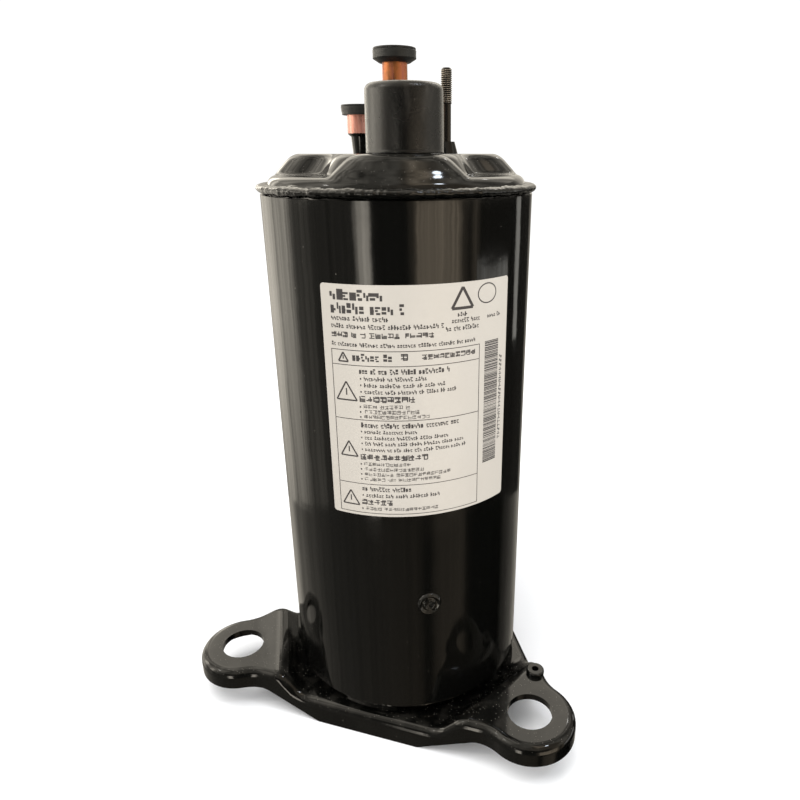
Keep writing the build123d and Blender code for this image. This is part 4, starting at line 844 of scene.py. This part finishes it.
# ---- Label and its print ----
LABEL_LEFT = -100.0
LABEL_TOP_Z = 192.8
LABEL_SIZE = (77.2, 94.1)
LABEL_CORNER = 1.3
LABEL_R = (SHELL_R + 0.02, SHELL_R + 0.17)
INK_R = (LABEL_R[1] - 0.005, LABEL_R[1] + 0.025)
STRIPE = 0.17  # the thinnest stripe and gap of the bar pattern
rng = np.random.default_rng(7)


def label_place(across, down, radius):
    """A point of the label, by its distance from the left and the top edge."""
    x, y = polar(radius, LABEL_LEFT + across / SHELL_R * 180 / pi)
    return (x, y, LABEL_TOP_Z - down)


def label_sheet():
    """The label as a thin closed sheet with small round corners."""
    wide, tall = LABEL_SIZE
    bend = LABEL_CORNER * (1 - np.cos(np.linspace(0, pi / 2, 8)))
    middle = np.linspace(LABEL_CORNER, wide - LABEL_CORNER, 60)[1:-1]
    columns = [*bend, *middle, *(wide - bend[::-1])]
    inner, outer = LABEL_R
    points = []
    for across in columns:
        short = LABEL_CORNER - min(across, wide - across, LABEL_CORNER)
        inset = LABEL_CORNER - np.sqrt(LABEL_CORNER**2 - short**2)
        low = tall - inset
        for down, radius in ((inset, outer), (low, outer), (low, inner), (inset, inner)):
            points.append(label_place(across, down, radius))
    ends = [tuple(range(start, start + 4)) for start in (0, len(points) - 4)]
    return points, grid_faces(len(columns), 4, close_columns=True) + ends


class Print:
    """Ink on the label, gathered as thin closed slabs."""

    def __init__(self):
        self.points, self.faces = [], []

    def quad(self, corners):
        """A slab over four corners given as (across, down), cut up along its first side."""
        a, b, c, d = corners
        cuts = max(1, ceil(abs(b[0] - a[0]) / 3))
        start = len(self.points)
        for radius in INK_R:
            for near, far in ((a, b), (d, c)):
                for k in range(cuts + 1):
                    share = k / cuts
                    across = near[0] + (far[0] - near[0]) * share
                    down = near[1] + (far[1] - near[1]) * share
                    self.points.append(label_place(across, down, radius))
        row = cuts + 1
        for k in range(cuts):
            i = start + k
            self.faces.append((i, i + 1, i + row + 1, i + row))
            self.faces.append((i + 2 * row, i + 3 * row, i + 3 * row + 1, i + 2 * row + 1))
            self.faces.append((i, i + 2 * row, i + 2 * row + 1, i + 1))
            self.faces.append((i + row, i + row + 1, i + 3 * row + 1, i + 3 * row))
        for i in (start, start + cuts):
            self.faces.append((i, i + row, i + 3 * row, i + 2 * row))

    def bar(self, left, top, width, height):
        right, low = left + width, top + height
        self.quad(((left, top), (right, top), (right, low), (left, low)))

    def line(self, start, end, width):
        start, end = Vector(start), Vector(end)
        along = end - start
        side = Vector((-along.y, along.x)).normalized() * width / 2
        corners = (start - side, end - side, end + side, start + side)
        self.quad([tuple(corner) for corner in corners])

    def outline(self, corners, width):
        for k, corner in enumerate(corners):
            self.line(corner, corners[(k + 1) % len(corners)], width)

    def words(self, left, top, right, height, glyph=0.72, heavy=1.0):
        """A row of word-like groups of marks, which spell nothing."""
        across = left
        while across < right:
            for _ in range(rng.integers(2, 9)):
                wide = height * glyph * rng.uniform(0.7, 1.0)
                tall = height * rng.choice((0.74, 0.74, 1.0))
                if across + wide > right:
                    return
                pen = height * 0.17 * heavy
                self.mark(across, top + height - tall, wide * 0.80, tall, pen)
                across += wide
            across += height * 0.45

    def mark(self, left, top, width, tall, pen):
        """One mark of a row: one of four groups of two or three blocks, none of them a letter."""
        kind = rng.integers(0, 4)
        middle = left + (width - pen) * 0.5
        if kind == 0:
            self.bar(left, top, pen * 1.7, tall)
            self.bar(left + width * 0.55, top + tall * 0.4, width * 0.45, tall * 0.3)
        if kind == 1:
            self.bar(middle - pen * 0.5, top, pen * 2, tall * 0.45)
            self.bar(left, top + tall * 0.6, width, tall * 0.32)
        if kind == 2:
            self.bar(left, top, width * 0.42, tall * 0.6)
            self.bar(left + width * 0.55, top + tall * 0.3, width * 0.45, tall * 0.7)
        if kind == 3:
            self.bar(left, top, width, tall * 0.26)
            self.bar(left, top + tall * 0.37, width * 0.55, tall * 0.24)
            self.bar(left + width * 0.2, top + tall * 0.74, width * 0.8, tall * 0.26)

    def square_words(self, left, top, right, height, heavy=1.0):
        """A row of square marks, each a small irregular grid, which spell nothing."""
        across = left
        while across + height < right:
            pen = height * 0.105 * heavy
            inner = height * 0.84
            for level in rng.choice(np.linspace(0, 0.9, 5), rng.integers(2, 5), replace=False):
                start = rng.choice((0.0, 0.0, 0.3))
                self.bar(across + inner * start, top + inner * level, inner * (1 - start), pen)
            for place in rng.choice(np.linspace(0, 0.88, 4), rng.integers(1, 3), replace=False):
                self.bar(across + inner * place, top + inner * 0.05, pen, inner * 0.9)
            across += height * (1.0 if rng.random() > 0.12 else 1.5)

    def warning_box(self, rows):
        """Rows as (kind, left, top, right, height); plain and small ones start with a bullet."""
        for kind, left, top, right, height in rows:
            if kind in ("plain", "small"):
                self.bar(left, top + height * 0.35, height * 0.3, height * 0.4)
                left += height * 0.9
            if kind == "bold":
                self.words(left, top, right, height, 0.66, 1.35)
            elif kind == "plain":
                self.words(left, top, right, height, 0.72, 0.9)
            else:
                self.square_words(left, top, right, height, 1.5 if kind == "square" else 1.0)

    def triangle(self, across, down, half, width):
        """An empty triangle with its apex up; half is half its height."""
        side, base = half * 1.05, down + half * 0.85
        self.outline(((across, down - half), (across + side, base), (across - side, base)), width)

    def stripes(self, left, right, top, low):
        """Level stripes of random thickness, which stand for nothing."""
        down = top
        while down < low:
            thick = STRIPE * rng.choice((1, 1, 2, 3))
            self.bar(left, down, right - left, thick)
            down += thick + STRIPE * rng.choice((1, 1, 2))


WARNING_ROWS = (
    ("bold", 11.8, 25.6, 28.2, 3.0),
    ("square", 30.2, 25.4, 36.0, 2.9),
    ("square", 38.0, 26.0, 60.4, 2.2),
    ("bold", 14.2, 31.4, 50.0, 2.1),
    ("plain", 14.4, 34.5, 40.4, 1.7),
    ("plain", 14.4, 37.1, 48.6, 1.7),
    ("plain", 14.4, 39.7, 52.4, 1.7),
    ("square", 13.9, 42.3, 36.6, 2.7),
    ("small", 13.8, 45.8, 35.0, 1.8),
    ("small", 13.8, 47.9, 37.6, 1.8),
    ("small", 13.8, 50.0, 42.0, 1.7),
    ("bold", 14.0, 53.2, 54.0, 2.1),
    ("plain", 13.8, 56.2, 36.6, 1.6),
    ("plain", 13.8, 58.7, 49.0, 1.6),
    ("plain", 13.8, 61.2, 55.0, 1.6),
    ("plain", 13.8, 63.7, 56.4, 1.6),
    ("square", 13.2, 66.6, 42.0, 2.7),
    ("small", 13.0, 70.1, 34.6, 1.7),
    ("small", 13.0, 72.3, 39.6, 1.7),
    ("small", 13.0, 74.5, 50.2, 1.7),
    ("small", 13.0, 76.7, 46.2, 1.7),
    ("bold", 13.2, 80.8, 34.6, 2.0),
    ("plain", 13.2, 83.9, 44.8, 1.7),
    ("square", 12.8, 86.6, 27.0, 2.6),
    ("small", 12.8, 90.0, 45.0, 1.7),
)
BOX_LEFT, BOX_RIGHT = 3.2, 62.0
BOX_LINES = (24.4, 30.2, 52.0, 79.6, 92.7)
BOX_PEN = 0.28
# Triangles in the boxes: middle (across, down) and half height.
SIGNS = ((8.1, 27.4, 1.9), (8.7, 41.0, 4.0), (8.5, 65.0, 3.4), (8.2, 86.6, 3.4))
RING_AT, RING_SIZE = (65.4, 5.2), (4.5, 3.7)
STRIPES = (64.6, 72.0, 24.0, 75.5)  # left, right, top, low
CODE_LEFT, CODE_DOWN = 73.0, np.arange(31.0, 67.0, 1.75)  # a row of marks beside the stripes


def print_label():
    """All the label's print; the order of the rows is also the order of the random draws."""
    ink = Print()
    ink.words(3.9, 1.8, 29.0, 4.0, 0.74, 2.2)
    ink.words(4.0, 6.8, 33.0, 4.0, 0.66, 1.2)
    ink.words(4.0, 11.5, 27.0, 1.9)
    ink.words(3.8, 14.5, 47.6, 1.8)
    ink.square_words(3.8, 17.6, 44.4, 2.3, 1.5)
    ink.words(3.6, 21.5, 61.0, 1.6, 0.74, 1.2)
    ink.triangle(54.1, 6.0, 4.2, 1.1)
    turns = np.linspace(0, 2 * pi, 40)[:-1]
    (across, down), (wide, tall) = RING_AT, RING_SIZE
    ink.outline([(across + wide * cos(t), down + tall * sin(t)) for t in turns], 0.45)
    ink.words(52.0, 11.0, 56.2, 1.7)
    ink.words(49.6, 13.3, 62.0, 1.7)
    ink.words(65.6, 13.2, 73.4, 1.6)
    ink.words(47.2, 16.1, 61.8, 1.8)
    for line in BOX_LINES:
        ink.bar(BOX_LEFT, line, BOX_RIGHT - BOX_LEFT, BOX_PEN)
    for side in (BOX_LEFT, BOX_RIGHT - BOX_PEN):
        ink.bar(side, BOX_LINES[0], BOX_PEN, BOX_LINES[-1] - BOX_LINES[0])
    for across, down, half in SIGNS:
        ink.triangle(across, down, half, 0.6)
        ink.bar(across - 0.25, down - half * 0.35, 0.5, half * 0.7)
    ink.warning_box(WARNING_ROWS)
    ink.stripes(*STRIPES)
    for down in CODE_DOWN:
        ink.mark(CODE_LEFT, down, 1.5, 1.4, 0.26)
    return ink


piece(
    "nameplate_film",
    *label_sheet(),
    LOOKS["label_film"],
    "housing",
    "label_film",
    ["nameplate_label"],
)
ink = print_label()
piece("label_print", ink.points, ink.faces, INK, "housing", "label_film", smooth=False)


# ---- Stage, light and camera ----
FLOOR_Z = -0.0186  # a hair under the object's lowest face
FLOOR_R = 12.0
DAYLIGHT = 1.07
scene = bpy.context.scene
scene.view_settings.view_transform = "Standard"


def stage_disc(name, radius, height):
    """A plain level disc of the stage, in metres."""
    disc = bmesh.new()
    bmesh.ops.create_circle(disc, cap_ends=True, segments=96, radius=radius)
    bmesh.ops.translate(disc, verts=disc.verts, vec=(0, 0, height))
    mesh = bpy.data.meshes.new(name)
    disc.to_mesh(mesh)
    disc.free()
    made = bpy.data.objects.new(name, mesh)
    scene.collection.objects.link(made)
    return made


floor = stage_disc("floor", FLOOR_R, FLOOR_Z)
floor_look = Surface("pale_floor", Roughness=1.0, Specular_IOR_Level=0.0)
floor_tone = floor_look.noise(3.0, 2.0)
floor_look.wire(Base_Color=floor_look.tint(floor_tone, (0.95, 0.95, 0.95), (0.97, 0.97, 0.97)))
floor.data.materials.append(floor_look.material)
floor.visible_glossy = False

world = bpy.data.worlds.new("studio")
scene.world = world
world.use_nodes = True
sky = world.node_tree.nodes["Background"].inputs
sky["Color"].default_value = (1.0, 1.0, 1.0, 1)
sky["Strength"].default_value = DAYLIGHT
world.cycles_visibility.glossy = False

# What gloss paint mirrors of the room: open cylinders and two flat windows round the object,
# which only glossy surfaces see. A profile gives the glow's strength by the direction from the
# camera's side, in degrees, positive to the camera's right.
ROOM_R = 1.2
FRONT = -68.8  # the polar angle of the camera's side
NEUTRAL = (1.0, 0.93, 0.80)
BROWN = (1.0, 0.83, 0.62)
BROWN_SPAN = (8, 70)
PANE = (0.93, 0.95, 0.93)
HIGH_PROFILE = (
    (-178, 0.3), (-158, 0.5), (-148, 1.3), (-132, 2.0), (-124, 2.0), (-121, 1.0), (-117, 2.2),
    (-111, 2.4), (-104, 2.3), (-99, 1.2), (-92, 0.5), (-80, 0.5), (-70, 0.22), (-36, 0.20),
    (-32, 4.2), (-28, 5.4), (-24, 4.2), (-21, 0.05), (6, 0.04), (12, 0.4), (15, 1.8),
    (30, 1.9), (48, 1.6), (52, 0.4), (58, 0.1), (64, 0.5), (69, 0.04), (112, 0.03),
    (146, 0.03), (157, 0.4),
)
LOW_PROFILE = (
    (-178, 0.2), (-155, 0.5), (-140, 0.7), (-128, 0.3), (-118, 0.42), (-108, 0.28),
    (-93, 0.26), (-80, 0.18), (-60, 0.15), (10, 0.15), (17, 0.03), (22, 0.03), (26, 0.14),
    (34, 0.25), (54, 0.24), (60, 0.03), (66, 0.0), (104, 0.0), (112, 0.08), (132, 0.2),
    (146, 0.45), (160, 0.3), (178, 0.2),
)
UPPER_PROFILE = (
    (-178, 0.55), (-161, 0.8), (-152, 4.8), (-144, 0.9), (-136, 2.8), (-128, 0.9), (-112, 1.6),
    (-104, 5.4), (-96, 2.0), (-86, 1.8), (-78, 5.0), (-70, 0.9), (-56, 0.6), (-38, 0.1),
    (0, 0.0), (28, 0.1), (50, 0.6), (75, 1.0), (98, 0.5), (125, 0.25), (150, 1.1), (178, 0.55),
)
CROWN_PROFILE = (
    (-178, 2.8), (-160, 1.9), (-148, 2.8), (-134, 0.9), (-120, 2.0), (-104, 0.7), (-84, 1.8),
    (-62, 1.7), (-46, 0.6), (-30, 0.5), (30, 0.5), (64, 0.4), (80, 1.0), (96, 0.3), (112, 0.5),
    (124, 1.4), (138, 0.6), (150, 2.2), (164, 1.8), (178, 2.8),
)
CEILING_PROFILE = (
    (-178, 1.0), (-140, 1.6), (-105, 1.8), (-70, 1.3), (-40, 0.6), (0, 0.5), (12, 0.5),
    (22, 1.4), (40, 1.5), (52, 0.5), (80, 0.7), (110, 0.6), (140, 0.8), (178, 1.0),
)
ZENITH_R = (0.12, 0.75)  # the ceiling evens out between these distances from its middle
ZENITH_GLOW = 0.75
GRAIN = 26.0  # how closely the glow's upright streaks stand
GRAIN_DRAWN = 0.5  # the same, up and down
ROOM_SPOKES = 96
LEFT_SIDE = (0.23, 0.26)  # the room's left side ends here, as a share of the turn
DIM_BELOW = -0.08  # the left side dims from this height down, in metres
PANEL_R = 1.15


def mirrored(name, points, faces, look):
    """A glowing sheet, in metres, that only gloss surfaces see."""
    look.material.cycles.emission_sampling = "NONE"
    mesh = bpy.data.meshes.new(name)
    mesh.from_pydata(points, [], faces)
    mesh.materials.append(look.material)
    sheet = bpy.data.objects.new(name, mesh)
    scene.collection.objects.link(sheet)
    sheet.visible_camera = False
    sheet.visible_diffuse = False
    sheet.visible_shadow = False


def streaked(name, grain, glow, uneven):
    """A black surface, its streaks, and a glow that they make weaker and stronger by a share."""
    look = Surface(name, Base_Color=(0, 0, 0, 1), Specular_IOR_Level=0.0)
    streak = look.noise(1.0, 5.0, look.stretched(grain, grain, GRAIN_DRAWN))
    return look, streak, look.spread(streak, *NOISE_SPAN, glow * (1 - uneven), glow * (1 + uneven))


def glow_panel(name, left, right, low, high, glow):
    """A window in the mirrored room, between two directions and two heights in metres."""
    sides = [polar(PANEL_R, FRONT + direction) for direction in (left, right)]
    points = [(*side, height) for height in (low, high) for side in sides]
    look, streak, strength = streaked(name, GRAIN, glow, 0.4)
    look.wire(Emission_Color=look.tint(streak, NEUTRAL, PANE), Emission_Strength=strength)
    mirrored(name, points, [(0, 1, 3, 2)], look)


def room_band(name, profile, low, high, uneven, top_r=ROOM_R, grain=GRAIN, dim=1.0):
    """One ring of the mirrored room between two heights in metres, uneven by its streaks.

    dim is the share of its glow that the left side keeps at the ring's lower edge.
    """
    peak = max(strength for _, strength in profile)
    points = []
    for height, radius in ((low, ROOM_R), (high, top_r)):
        for k in range(ROOM_SPOKES):
            points.append((*polar(radius, 360 * k / ROOM_SPOKES), height))
    look, _, strength = streaked(name, grain, peak, uneven)
    x, y, z = look.add("SeparateXYZ", {"Vector": look.place}).outputs
    turned = look.math("DIVIDE", look.math("ARCTAN2", y, x), 2 * pi)
    share = look.math("FRACT", look.math("ADD", turned, 0.5 - FRONT / 360))
    ramp = look.add("ValToRGB", {"Fac": share})
    stops = ramp.color_ramp.elements
    while len(stops) < len(profile):
        stops.new(0.5)
    for stop, (direction, level) in zip(stops, profile):
        stop.position = (direction + 180) / 360
        tint = BROWN if BROWN_SPAN[0] < direction < BROWN_SPAN[1] else NEUTRAL
        stop.color = (*[channel * level / peak for channel in tint], 1)
    shaded = look.math(
        "MULTIPLY",
        look.spread(share, *LEFT_SIDE, 1.0, 0.0),
        look.spread(z, low, DIM_BELOW, 1.0 - dim, 0.0),
    )
    even = look.spread(look.away(), *ZENITH_R, 1.0, 0.0)
    glow = [channel * ZENITH_GLOW / peak for channel in NEUTRAL]
    look.wire(
        Emission_Color=look.tint(even, ramp.outputs["Color"], glow),
        Emission_Strength=look.math("MULTIPLY", strength, look.math("SUBTRACT", 1.0, shaded)),
    )
    mirrored(name, points, grid_faces(2, ROOM_SPOKES, close_columns=True), look)


# The heights of the bands' edges, in metres.
ROOM_FOOT, SILL, LINTEL, CORNICE, EAVES, ROOF = -1.7, -0.55, 0.16, 0.66, 1.7, 2.1
room_band("room_low", LOW_PROFILE, ROOM_FOOT, SILL, 0.25)
room_band("room_high", HIGH_PROFILE, SILL, LINTEL, 0.45, dim=0.45)
room_band("room_upper", UPPER_PROFILE, LINTEL, CORNICE, 0.3)
room_band("room_crown", CROWN_PROFILE, CORNICE, EAVES, 0.2)
room_band("room_ceiling", CEILING_PROFILE, EAVES, ROOF, 0.75, 0.001, 3.5)
glow_panel("right_window", 66.0, 103.0, -0.25, 0.035, 1.25)
glow_panel("right_slit", 114.0, 121.5, -0.14, 0.16, 1.3)


def softbox(name, place, target, size, power, colour=(1, 1, 1), glints=False):
    """A round soft light; glints is whether gloss surfaces mirror it."""
    light = bpy.data.lights.new(name, "AREA")
    light.shape = "DISK"
    light.size = size
    light.energy = power
    light.color = colour
    made = bpy.data.objects.new(name, light)
    made.location = place
    made.rotation_euler = (Vector(target) - Vector(place)).to_track_quat("-Z", "Y").to_euler()
    made.visible_glossy = glints
    scene.collection.objects.link(made)


softbox("top_softbox", (-0.3, -0.4, 1.6), (0, 0, 0.1), 1.2, 14.0)
softbox("side_softbox", (1.3, -0.35, 0.5), (0, 0, 0.12), 0.6, 4.0, (0.96, 0.98, 1.0))
softbox("right_lamp", (0.8, -0.24, 1.47), (0, 0, 0.2), 0.16, 2.2, (0.80, 0.88, 1.0), True)
softbox("left_lamp", (-0.95, -0.75, 1.1), (0, 0, 0.2), 0.14, 1.2, (1.0, 0.97, 0.92), True)
softbox("rear_lamp", (0.3, 1.2, 1.2), (0, 0, 0.2), 0.2, 1.5, (1.0, 0.98, 0.95), True)

TILT_DOWN = 20.41
camera_data = bpy.data.cameras.new("camera")
camera_data.sensor_width = 36.0
camera_data.lens = 29.59
camera_data.shift_x = -0.058
camera_data.shift_y = -0.0026
camera_data.clip_start = 0.01
camera = bpy.data.objects.new("camera", camera_data)
camera.location = (0.10495, -0.27005, 0.2368)
heading = Vector((-0.2957, 0.9553, -tan(radians(TILT_DOWN))))
camera.rotation_euler = heading.to_track_quat("-Z", "Y").to_euler()
scene.collection.objects.link(camera)
scene.camera = camera
